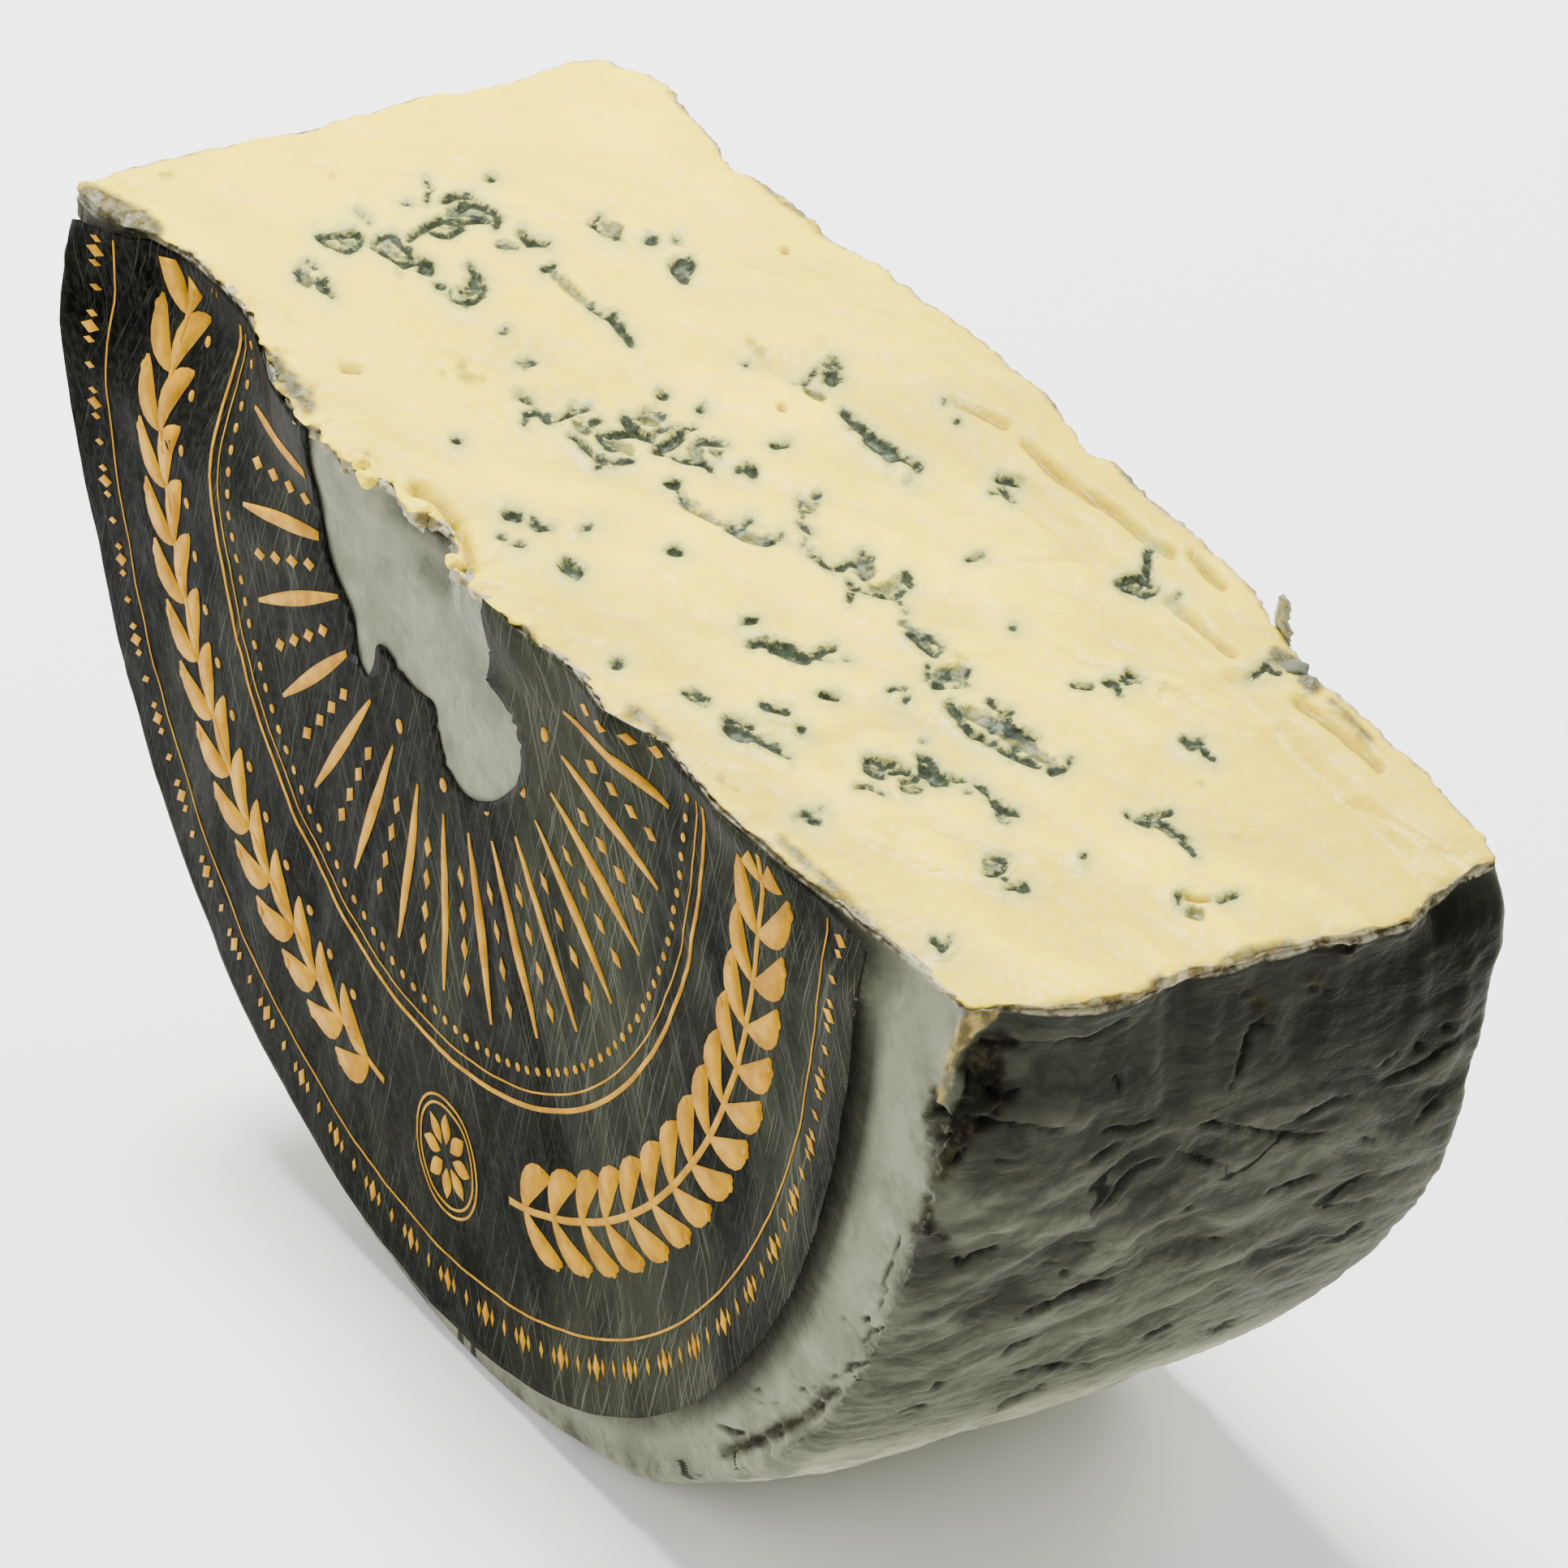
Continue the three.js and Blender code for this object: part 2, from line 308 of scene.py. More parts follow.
BACK_RIM = (
    (763, 82), (800, 90), (820, 102), (833, 113), (840, 125), (852, 138), (866, 150), (878, 164),
    (887, 178), (893, 190), (903, 202), (915, 209), (932, 213), (946, 220), (953, 230), (967, 236),
    (979, 243), (986, 252), (1000, 265), (1009, 277), (1022, 288), (1037, 297), (1056, 305),
    (1066, 313), (1085, 325), (1105, 342), (1122, 352), (1145, 370), (1175, 388), (1200, 408),
    (1220, 425), (1245, 448), (1262, 462), (1280, 478), (1300, 500), (1318, 521), (1328, 537),
    (1338, 553), (1352, 562), (1372, 568), (1386, 581), (1401, 594), (1415, 610), (1430, 622),
    (1450, 635), (1470, 650), (1487, 668), (1500, 685), (1515, 700), (1535, 718), (1548, 736),
    (1557, 755), (1568, 768), (1582, 783), (1595, 800), (1606, 812), (1614, 826), (1627, 839),
    (1641, 846), (1655, 860), (1670, 871), (1685, 885), (1705, 901), (1720, 915), (1735, 930),
    (1743, 941), (1757, 950), (1770, 965), (1785, 980), (1800, 998), (1812, 1012), (1826, 1023),
    (1836, 1034), (1842, 1046),
)
NEAR_RIM = (
    (1200, 1268), (1222, 1258), (1245, 1254), (1262, 1262), (1285, 1260), (1330, 1250), (1380, 1235),
    (1405, 1225), (1436, 1208), (1465, 1193), (1509, 1186), (1539, 1178), (1557, 1170), (1583, 1165),
    (1603, 1163), (1628, 1153), (1662, 1153), (1680, 1150), (1720, 1139), (1741, 1132), (1748, 1119),
    (1766, 1102), (1789, 1086), (1817, 1066), (1840, 1058),
)
# How far in and down from the rims a shift dies away, and the most that it may be
RIM_FADE = 9.0
RIM_FADE_BELOW = 8.0
MOST_IN = 3.2
MOST_OUT = 1.7
# A bay in the torn rim, where the paste stops short
BAY_AT = -9.0
BAY_WIDTH = 4.5
BAY_DEPTH = 1.3


def rim_shift(rim, axis, plain, at):
    """How far the rim that was read lies from the plain one, at each place along it."""
    read = np.array([on_cut(pixel) for pixel in rim])
    along = 1 - axis
    order = np.argsort(read[:, along])
    read = read[order]
    shift = read[:, axis] - plain(read[:, along])
    outward = 1.0 if rim is not FRONT_RIM else -1.0
    shift = outward * np.clip(outward * shift, -MOST_IN, MOST_OUT)
    return np.interp(at, read[:, along], shift)


def plain_front(x):
    return front_face(np.abs(x)) + pressed_in(FRONT_DENTS, x, np.zeros(len(x)))


def plain_back(x):
    return back_face(np.abs(x)) - pressed_in(BACK_DENTS, x, np.zeros(len(x)))


def front_shift(x, z):
    shift = rim_shift(FRONT_RIM, 1, plain_front, x) * smooth(RADIUS + x, -1.0, 5.0)
    return shift * fade(-z, 0.0, RIM_FADE_BELOW)


def place(u, s, turn, inset):
    """A point of the half wheel: u from end to end, s from face to face, turn down round the rim."""
    y0 = FRONT_Y + THICKNESS * s
    radius = rim_radius(y0) - inset
    depth = radius * np.sin(turn)
    x = u * radius * np.cos(turn)
    out = np.hypot(x, depth)
    front = front_face(out) + inset
    back = back_face(out) - inset
    z = CENTRE - depth
    share = smooth(s, 0.0, 1.0)
    y = front + (back - front) * s
    y = y + (pressed_in(FRONT_DENTS, x, z) - front_swell(x, z)) * (1.0 - share)
    y = y - pressed_in(BACK_DENTS, x, z) * share
    z = z + (cut_height(x, y) - CENTRE) * (1.0 - np.clip(depth / FADE, 0.0, 1.0)) ** 2
    z = np.maximum(z, FLOOR + inset)
    points = np.stack((x, y, z), axis=1)
    away = np.linalg.norm(points - np.array(TEAR_AT), axis=1)
    torn = TEAR_DEPTH * bell(away, TEAR_WIDTH)
    points[:, 0] -= DIAGONAL * torn
    points[:, 1] += DIAGONAL * torn
    worn = WORN_DEPTH * bell(np.linalg.norm(points - np.array(WORN_AT), axis=1), WORN_WIDTH)
    points[:, 0] -= DIAGONAL * worn
    points[:, 2] += DIAGONAL * worn

    # The rims come to lie where they were read off the photograph
    near_cut = fade(depth, 0.0, RIM_FADE_BELOW)
    at_front = fade(s * THICKNESS, 0.0, RIM_FADE)
    at_back = near_cut * fade((1.0 - s) * THICKNESS, 0.0, RIM_FADE)
    at_end = near_cut * fade((1.0 - u) * RADIUS, 0.0, RIM_FADE) * smooth(s, 0.06, 0.14)
    points[:, 1] += at_front * front_shift(points[:, 0], CENTRE - depth)
    points[:, 1] += at_back * rim_shift(BACK_RIM, 1, plain_back, points[:, 0])
    points[:, 0] += at_end * rim_shift(NEAR_RIM, 0, rim_radius, points[:, 1])
    return points


# Meshes

def layer_values(bm, name):
    layer = bm.verts.layers.float[name]
    return np.array([v[layer] for v in bm.verts])


def coordinates(bm):
    return np.array([v.co for v in bm.verts])


def move_to(bm, points):
    for vertex, point in zip(bm.verts, points.tolist()):
        vertex.co = point


def normals_of(bm):
    bm.normal_update()
    return np.array([v.normal for v in bm.verts])


def face_out(bm):
    """Turns an open shell so that its labelled side faces -Y."""
    bmesh.ops.recalc_face_normals(bm, faces=bm.faces)
    lowest = min(bm.faces, key=lambda f: f.calc_center_median().y)
    if lowest.normal.y > 0:
        bmesh.ops.reverse_faces(bm, faces=bm.faces)


def set_values(obj, name, values):
    attribute = obj.data.attributes.new(name, "FLOAT", "POINT")
    attribute.data.foreach_set("value", np.asarray(values, dtype=np.float32))


def piece(name, bm, materials, node=None):
    """Moves a finished bmesh to the frame and makes it a piece that rides on the body."""
    bmesh.ops.translate(bm, verts=bm.verts, vec=ZERO)
    bmesh.ops.scale(bm, verts=bm.verts, vec=(MM, MM, MM))
    mesh = bpy.data.meshes.new(name)
    bm.to_mesh(mesh)
    bm.free()
    mesh.polygons.foreach_set("use_smooth", [True] * len(mesh.polygons))
    obj = bpy.data.objects.new(name, mesh)
    bpy.context.scene.collection.objects.link(obj)
    for material in materials:
        mesh.materials.append(material)
    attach(obj, "root")
    if node:
        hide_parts(node)
    return obj


def thicken(obj, thickness, offset):
    solid = obj.modifiers.new("thickness", "SOLIDIFY")
    solid.thickness = thickness * MM
    solid.offset = offset
    solid.use_even_offset = False


def grid_with_layers(columns, rows):
    """A flat grid whose vertices keep the values from which place() finds them."""
    bm = bmesh.new()
    bmesh.ops.create_grid(bm, x_segments=columns, y_segments=rows, size=1.0)
    u, s, turn, inset = [bm.verts.layers.float.new(name) for name in ("u", "s", "turn", "inset")]
    for vertex in bm.verts:
        vertex[u] = vertex.co.x
        vertex[s] = (vertex.co.y + 1.0) / 2.0
        vertex[turn] = 0.0
        vertex[inset] = 0.0
    return bm


def pull_down(bm, edges, turns, depth):
    """Extrudes a loop of edges once for each turn, this deep, and gives back the last loop."""
    turn_layer = bm.verts.layers.float["turn"]
    inset_layer = bm.verts.layers.float["inset"]
    for turn in turns:
        made = bmesh.ops.extrude_edge_only(bm, edges=edges)["geom"]
        edges = [e for e in made if isinstance(e, bmesh.types.BMEdge)]
        for vertex in {v for e in edges for v in e.verts}:
            vertex[turn_layer] = turn
            vertex[inset_layer] = depth
    return edges


# Marks, each read off the photograph: half its width, then the points that it runs through, in pixels

# Mould pockets
POCKETS = {
    "teardrop ring": (
        3.2, (393, 291), (417, 288), (438, 286), (445, 294), (439, 306), (428, 311), (415, 304),
        (401, 297), (393, 291),
    ),
    "teardrop tail": (1.8, (439, 263), (448, 269), (455, 274)),
    "twin left": (1.8, (368, 345), (366, 335), (372, 325), (380, 323), (388, 331)),
    "twin right": (6.5, (395, 349), (401, 356)),
    "twin tip": (2.6, (401, 354), (410, 367)),
    "block top": (
        3.4, (459, 299), (470, 295), (481, 292), (490, 300), (498, 308), (512, 320), (520, 327),
    ),
    "block bottom": (3.4, (459, 299), (474, 312), (489, 324), (498, 331), (508, 325)),
    "block fill": (5.5, (497, 322), (507, 324)),
    "block end": (8.5, (523, 331), (528, 332)),
    "wave low": (
        4.4, (505, 297), (518, 287), (531, 278), (545, 270), (560, 272), (572, 273), (588, 271),
        (602, 272),
    ),
    "wave belly": (3.6, (531, 286), (543, 290), (556, 289), (568, 281)),
    "wave top": (3.4, (547, 249), (560, 246), (579, 243)),
    "wave right": (4.2, (567, 256), (582, 252), (594, 256), (606, 261), (614, 268), (612, 279)),
    "wave mid": (2.4, (580, 262), (594, 266), (604, 270)),
    "upper arc": (2.3, (526, 226), (530, 236), (527, 247)),
    "upper arc tail": (2.0, (497, 252), (505, 251)),
    "green speck": (3.2, (602, 219), (608, 219)),
    "basin right": (
        3.6, (579, 331), (590, 342), (597, 356), (594, 368), (584, 375), (572, 376), (560, 371),
        (555, 365),
    ),
    "basin heart": (7.0, (582, 346), (586, 353)),
    "basin left": (3.6, (568, 361), (577, 355)),
    "basin speck": (4.2, (539, 355), (545, 357)),
    "dot low left": (4.0, (619, 409), (623, 409)),
    "bird": (4.4, (641, 288), (649, 296), (656, 299)),
    "bird wing": (3.6, (650, 301), (662, 300), (674, 302)),
    "bird tail": (1.6, (616, 303), (634, 304)),
    "hook stroke": (2.6, (738, 266), (729, 275), (741, 288), (752, 291)),
    "hook end": (4.8, (758, 292), (761, 293)),
    "pair left": (4.4, (797, 297), (807, 297)),
    "pair right": (2.8, (832, 294), (835, 294)),
    "square": (11.0, (836, 329), (846, 329)),
    "square foot": (7.0, (840, 338), (843, 341)),
    "vein head": (2.8, (670, 336), (682, 329)),
    "vein neck": (3.0, (727, 379), (741, 390), (754, 394)),
    "vein body": (6.0, (755, 393), (762, 402), (768, 411)),
    "vein tip": (3.4, (766, 410), (773, 419), (779, 427)),
    "eyelid": (1.9, (637, 447), (642, 442), (648, 440), (655, 442), (659, 446)),
    "cluster dash": (2.8, (638, 488), (646, 491), (655, 494)),
    "cluster dot": (3.6, (812, 482), (820, 484)),
    "cluster speck": (3.2, (862, 502), (867, 502)),
    "cluster hook": (3.2, (646, 522), (648, 512), (659, 507), (668, 510)),
    "cluster knot": (5.4, (672, 513), (675, 517)),
    "cluster wedge": (4.2, (687, 517), (696, 511), (704, 505), (706, 498)),
    "cluster wedge arm": (4.0, (708, 502), (722, 501)),
    "cluster bits": (2.6, (723, 526), (731, 520), (740, 516)),
    "cluster keel": (3.6, (703, 536), (712, 545), (722, 553), (733, 562), (745, 566)),
    "cluster keel tip": (2.2, (745, 566), (762, 568), (780, 569)),
    "cluster keel foot": (2.4, (742, 564), (736, 572)),
    "cluster wall": (2.8, (738, 530), (739, 543), (748, 552), (758, 555)),
    "cluster beam": (4.4, (749, 535), (766, 533), (780, 531)),
    "cluster spine": (5.2, (770, 512), (776, 523), (788, 530), (803, 535)),
    "cluster ring": (2.2, (785, 512), (795, 502), (805, 500), (814, 506), (819, 513)),
    "cluster olive": (4.2, (812, 527), (822, 524)),
    "cluster heart": (8.0, (812, 549), (824, 543), (838, 534)),
    "cluster base": (4.4, (808, 556), (816, 556)),
    "cluster east": (3.8, (861, 545), (877, 548), (894, 550)),
    "cluster east low": (2.6, (877, 556), (886, 561)),
    "cluster tail": (3.2, (829, 560), (840, 565), (853, 567), (870, 569), (876, 577)),
    "cluster flank": (2.6, (850, 530), (856, 526)),
    "lone dot": (4.4, (561, 543), (566, 544)),
    "ellipse left": (6.4, (625, 632), (638, 635)),
    "chain one": (2.8, (654, 638), (662, 644), (664, 650)),
    "chain two": (2.6, (666, 648), (681, 649)),
    "chain three": (3.2, (717, 652), (726, 649)),
    "low one": (2.8, (616, 662), (622, 664)),
    "low two": (3.2, (635, 672), (646, 673)),
    "seed": (8.4, (697, 697), (704, 701), (711, 704)),
    "seed east": (5.0, (826, 681), (836, 682)),
    "comet head": (5.4, (825, 596), (833, 598)),
    "comet neck": (2.6, (835, 602), (840, 612)),
    "comet knee": (3.6, (903, 648), (906, 654)),
    "comet knee top": (3.6, (916, 645), (924, 641)),
    "comet foot": (3.4, (944, 668), (953, 665), (960, 660)),
    "crest dot": (3.2, (918, 450), (921, 448)),
    "ring top": (3.2, (1018, 450), (1025, 445), (1032, 449)),
    "ring body": (8.0, (1025, 461), (1026, 466)),
    "ring side": (3.2, (1017, 457), (1016, 466)),
    "ring side east": (3.2, (1035, 456), (1036, 466)),
    "ring streak": (2.4, (981, 469), (992, 466), (1005, 457)),
    "long crevice": (6.4, (1041, 511), (1052, 523), (1064, 531), (1078, 541), (1092, 552), (1106, 561)),
    "long crevice belly": (9.0, (1072, 540), (1090, 553), (1100, 560)),
    "long crevice tip": (4.4, (1106, 561), (1120, 567), (1133, 577)),
    "crevice speck": (2.6, (1118, 590), (1121, 587)),
    "tan speck": (2.2, (1162, 496), (1166, 495)),
    "tan speck two": (1.8, (1178, 521), (1181, 519)),
    "small wing": (3.8, (954, 551), (961, 550), (969, 548)),
    "tick": (5.4, (921, 578), (927, 583)),
    "tick arm": (2.4, (908, 579), (920, 575)),
    "zig one": (2.0, (985, 614), (986, 629), (1001, 630), (1005, 622)),
    "zig two": (2.2, (1002, 612), (1008, 610)),
    "zig three": (2.3, (988, 636), (984, 645), (991, 652), (1000, 656)),
    "zig four": (1.8, (994, 664), (990, 671)),
    "zig five": (2.8, (998, 680), (1008, 689), (1017, 698), (1030, 703)),
    "pocket knot": (4.4, (1035, 703), (1040, 698)),
    "pocket ridge": (3.0, (1042, 695), (1051, 691), (1056, 700), (1064, 711)),
    "pocket hood": (2.4, (1058, 684), (1066, 684), (1071, 691)),
    "crescent foot": (4.0, (1047, 742), (1051, 731), (1047, 720)),
    "crescent": (3.4, (1052, 725), (1067, 731), (1086, 735), (1103, 733), (1112, 724)),
    "crescent end": (3.8, (1110, 712), (1117, 710), (1122, 719)),
    "crescent drip": (2.6, (1104, 736), (1110, 743)),
    "drip dots": (2.8, (1115, 752), (1117, 758)),
    "slug": (4.6, (1120, 785), (1130, 793), (1140, 801), (1151, 808)),
    "slug back": (2.8, (1141, 785), (1152, 792), (1161, 800), (1154, 809)),
    "nest west": (3.0, (1144, 823), (1142, 836)),
    "nest floor": (6.0, (1152, 845), (1160, 846)),
    "nest speck": (3.4, (1162, 832), (1168, 832)),
    "nest east": (3.4, (1186, 838), (1193, 831)),
    "nest rim": (2.2, (1174, 848), (1190, 843)),
    "thin dash": (2.0, (1190, 691), (1200, 688), (1211, 683)),
    "east speck": (2.4, (1247, 774), (1251, 774)),
    "twig": (4.0, (1229, 589), (1240, 591), (1254, 594)),
    "twig low": (4.6, (1236, 600), (1241, 609), (1248, 615)),
    "twig west": (3.2, (1222, 606), (1234, 606)),
    "dot west": (7.0, (759, 815), (763, 814)),
    "leaf speck": (4.2, (918, 766), (931, 763)),
    "fish head": (4.8, (925, 792), (936, 790), (946, 791)),
    "fish body": (7.6, (952, 795), (965, 800), (980, 808), (993, 812)),
    "fish tail": (4.6, (996, 811), (1008, 806), (1019, 799), (1026, 796)),
    "fish fin": (1.8, (1005, 811), (1022, 813)),
    "fish speck": (2.2, (1042, 811), (1046, 811)),
    "bean ring": (2.8, (842, 855), (855, 852), (863, 858), (872, 865)),
    "bean low": (2.0, (847, 860), (860, 866), (870, 868)),
    "pill": (5.4, (1013, 859), (1030, 860)),
    "bar": (4.6, (941, 873), (955, 877), (969, 881)),
    "bar speck": (3.0, (984, 898), (988, 900)),
    "delta top": (4.0, (893, 887), (908, 887), (927, 896)),
    "delta body": (8.6, (899, 897), (909, 903), (922, 907)),
    "delta tail": (5.2, (922, 907), (940, 914), (958, 922)),
    "delta tip": (2.8, (960, 924), (972, 932)),
    "caret": (3.0, (1095, 855), (1105, 851), (1114, 854)),
    "caret foot": (3.0, (1116, 866), (1118, 864)),
    "lone speck": (2.6, (1136, 910), (1139, 909)),
    "crab west": (4.0, (1067, 933), (1068, 946), (1077, 952), (1088, 955)),
    "crab top": (3.6, (1067, 932), (1078, 934), (1090, 939), (1101, 940)),
    "crab mid": (4.4, (1100, 950), (1109, 945), (1119, 949)),
    "crab claw": (4.6, (1114, 962), (1121, 958), (1128, 956)),
    "crab ring": (2.2, (1112, 971), (1122, 975), (1132, 974), (1138, 964)),
    "crab crown": (4.0, (1133, 933), (1146, 934), (1152, 945)),
    "crab shell": (8.2, (1138, 945), (1148, 951), (1158, 958)),
    "crab arm": (3.4, (1153, 947), (1165, 954), (1177, 958), (1188, 958)),
    "crab belly": (4.6, (1150, 960), (1165, 961)),
    "thin smile": (2.4, (1055, 972), (1073, 972), (1087, 977)),
    "smile speck": (2.4, (1192, 973), (1195, 973)),
    "arrow stem": (3.8, (1204, 963), (1219, 978), (1227, 991)),
    "arrow wing": (4.2, (1227, 991), (1240, 998), (1253, 1003)),
    "arrow west": (2.6, (1228, 992), (1229, 1005), (1236, 1012), (1242, 1013)),
    "river head": (6.0, (1171, 872), (1177, 879)),
    "river bank": (3.8, (1180, 884), (1188, 893), (1197, 902)),
    "river bank mid": (3.0, (1200, 904), (1212, 908), (1224, 914)),
    "river bank low": (4.2, (1232, 920), (1250, 932), (1264, 939), (1278, 945)),
    "river stone one": (3.6, (1221, 868), (1226, 873)),
    "river stone two": (3.4, (1233, 882), (1246, 879)),
    "river stone three": (5.2, (1219, 893), (1223, 899)),
    "river stone four": (4.8, (1243, 892), (1241, 902), (1248, 903)),
    "river stone five": (4.6, (1256, 903), (1266, 907), (1276, 912)),
    "river stone six": (3.4, (1247, 919), (1254, 924)),
    "river mouth": (4.4, (1294, 953), (1305, 952), (1314, 948)),
    "river mouth east": (3.4, (1315, 947), (1317, 938)),
    "cup": (4.8, (1216, 1075), (1226, 1075), (1235, 1069), (1239, 1061)),
    "cup rim": (3.2, (1238, 1060), (1231, 1055), (1219, 1054)),
    "cup link": (2.2, (1234, 1078), (1240, 1082)),
    "snail": (3.0, (1240, 1093), (1250, 1092), (1256, 1088), (1262, 1088), (1266, 1094)),
    "snail foot": (2.8, (1258, 1095), (1267, 1094)),
    "y stem": (3.8, (1418, 675), (1413, 686), (1412, 697)),
    "y mid": (4.6, (1412, 700), (1414, 712)),
    "y foot": (4.2, (1378, 722), (1390, 716), (1404, 714), (1417, 722)),
    "y base": (3.8, (1385, 727), (1397, 731), (1408, 735), (1424, 730)),
    "y speck": (3.4, (1450, 736), (1453, 736)),
    "short bar": (3.6, (1323, 848), (1334, 849), (1344, 849)),
    "cross west": (4.0, (1364, 844), (1376, 846), (1379, 857)),
    "cross east": (4.0, (1382, 841), (1390, 833), (1399, 836)),
    "cross east low": (2.8, (1390, 846), (1398, 842), (1404, 844)),
    "edge crevice": (4.0, (1540, 837), (1550, 832), (1560, 823)),
    "edge crevice low": (3.2, (1560, 824), (1568, 831), (1574, 832)),
    "bat": (4.0, (1457, 914), (1470, 916), (1481, 916), (1486, 930)),
    "bat west": (2.8, (1462, 917), (1468, 924), (1474, 920)),
    "bat tip": (2.6, (1491, 935), (1495, 937)),
    "hook spear": (3.2, (1412, 1007), (1427, 1004), (1442, 1001)),
    "spear back": (4.0, (1389, 1007), (1400, 1011), (1414, 1017)),
    "spear": (3.2, (1431, 1011), (1444, 1020), (1456, 1032)),
    "spear end": (5.6, (1456, 1034), (1464, 1045)),
    "spear tip": (3.2, (1466, 1049), (1473, 1060)),
    "white pit west": (3.4, (1453, 1108), (1454, 1116)),
    "white pit east": (3.4, (1503, 1111), (1512, 1108), (1521, 1106)),
    "low speck": (2.6, (1334, 1060), (1337, 1058)),
    "butterfly west": (3.6, (1149, 1155), (1156, 1160), (1160, 1166)),
    "butterfly east": (3.6, (1160, 1166), (1166, 1162), (1170, 1157)),
    "glint knot": (4.4, (999, 1006), (1006, 1009)),
    "glint arm": (2.2, (980, 1004), (989, 998), (1000, 1001)),
    "glint east": (2.2, (1003, 1004), (1011, 997)),
}

# Pale mould floors inside and beside the pockets
FLOORS = {
    "teardrop": (6.0, (424, 297), (432, 297)),
    "twin": (8.5, (374, 336), (378, 346)),
    "block": (4.0, (476, 302), (490, 312)),
    "wave": (6.0, (555, 263), (575, 260), (597, 266)),
    "wave low": (3.0, (544, 279), (560, 278)),
    "basin": (4.5, (568, 366), (582, 364)),
    "eyelid": (4.5, (647, 448), (652, 448)),
    "bird tail": (3.4, (612, 302), (636, 305)),
    "hook": (8.0, (748, 276), (760, 283)),
    "vein": (6.0, (684, 339), (700, 352), (716, 366), (728, 376)),
    "cluster west": (8.0, (712, 522), (722, 530)),
    "cluster room": (7.0, (742, 543), (760, 546), (776, 556)),
    "cluster ring": (9.0, (798, 512), (808, 514)),
    "cluster east": (7.0, (852, 552), (862, 560)),
    "chain": (4.0, (655, 643), (659, 646)),
    "comet": (5.0, (842, 616), (856, 625), (872, 634), (886, 643)),
    "comet knee": (8.0, (900, 652), (914, 660), (930, 664), (942, 667)),
    "ring": (4.0, (1028, 453), (1029, 455)),
    "ring west": (8.0, (998, 480), (1010, 488)),
    "zig": (5.0, (994, 620), (998, 625)),
    "pocket": (10.0, (1062, 697), (1068, 702)),
    "crescent": (6.5, (1076, 722), (1092, 722), (1104, 716)),
    "slug": (6.5, (1112, 772), (1128, 780), (1142, 793)),
    "nest": (9.0, (1158, 832), (1174, 832), (1184, 828)),
    "bean": (3.0, (856, 860), (864, 863)),
    "crab": (5.0, (1079, 944), (1086, 945)),
    "crab ring": (4.0, (1124, 967), (1130, 966)),
    "arrow": (4.5, (1233, 1004), (1239, 1006)),
    "river": (9.0, (1194, 878), (1210, 886), (1228, 894), (1248, 908), (1262, 918)),
    "river low": (8.0, (1262, 918), (1280, 930), (1298, 942)),
    "cup": (6.5, (1216, 1062), (1226, 1063)),
    "snail": (2.6, (1254, 1093), (1258, 1094)),
    "y": (4.0, (1390, 722), (1404, 724)),
    "y stem": (4.2, (1414, 690), (1414, 708)),
    "spear": (4.6, (1420, 1014), (1432, 1020), (1446, 1030)),
    "white pit": (6.0, (1466, 1126), (1480, 1130)),
    "cross": (3.4, (1388, 841), (1394, 840)),
    "glint": (4.0, (992, 1004), (1010, 1008)),
}

# Olive stains and orange pits
STAINS = {
    "olive patch": (7.0, (570, 448), (568, 460), (578, 470)),
    "olive patch wing": (4.0, (578, 466), (594, 467)),
    "olive patch speck": (3.0, (542, 462), (545, 461)),
    "crest smear": (6.0, (925, 420), (932, 430), (940, 436)),
    "crab olive": (5.0, (1092, 934), (1100, 936)),
    "nest olive": (5.0, (1180, 812), (1188, 816)),
    "river olive": (5.0, (1238, 905), (1246, 908)),
    "small olive": (3.6, (1430, 857), (1436, 852)),
    "low olive": (2.6, (1479, 966), (1483, 966)),
    "far speck": (3.0, (407, 214), (409, 214)),
    "far smudge": (5.0, (200, 216), (210, 214)),
    "step speck": (2.6, (489, 339), (493, 343)),
    "cluster tan": (5.0, (766, 550), (774, 552)),
}
ORANGE = {
    "orange pit": (5.0, (961, 503), (965, 506)),
    "orange pit far": (4.0, (966, 305), (970, 306)),
    "orange flake": (4.6, (1463, 1108), (1476, 1111), (1489, 1110)),
}


# Yellow folds that the knife left in the cut
FOLDS = {
    "back groove far": (1.2, (1179, 494), (1206, 505), (1238, 521)),
    "back groove": (
        1.4, (1263, 545), (1289, 570), (1318, 595), (1347, 612), (1377, 633), (1402, 654), (1419, 668),
    ),
    "back groove end": (1.0, (1419, 668), (1444, 682)),
    "low groove": (1.2, (1469, 686), (1486, 703), (1507, 724)),
    "second fold": (1.0, (1440, 741), (1478, 774), (1520, 808)),
    "near fold": (1.0, (1600, 866), (1650, 900), (1700, 944)),
    "front pocket": (1.4, (425, 452), (440, 453)),
    "lip fold": (2.4, (512, 597), (545, 618), (572, 655), (580, 690)),
}
# Raised pleats of the paste
PLEATS = {
    "east pleat": (3.0, (1440, 842), (1482, 836), (1530, 816), (1562, 806)),
    "east pleat low": (2.5, (1548, 905), (1566, 890), (1580, 872)),
    "band edge": (3.4, (1272, 534), (1298, 558), (1327, 582), (1356, 600), (1386, 621), (1412, 642)),
    "front pleat": (2.5, (1440, 668), (1458, 680), (1476, 690)),
    "mid pleat": (3.0, (880, 436), (905, 452), (930, 442), (960, 430), (1000, 424)),
    "mid pleat low": (3.0, (870, 462), (900, 470), (930, 474)),
    "far pleat": (3.0, (520, 436), (600, 425), (690, 404)),
    "far pleat low": (3.0, (560, 500), (660, 470), (760, 452), (850, 430)),
}
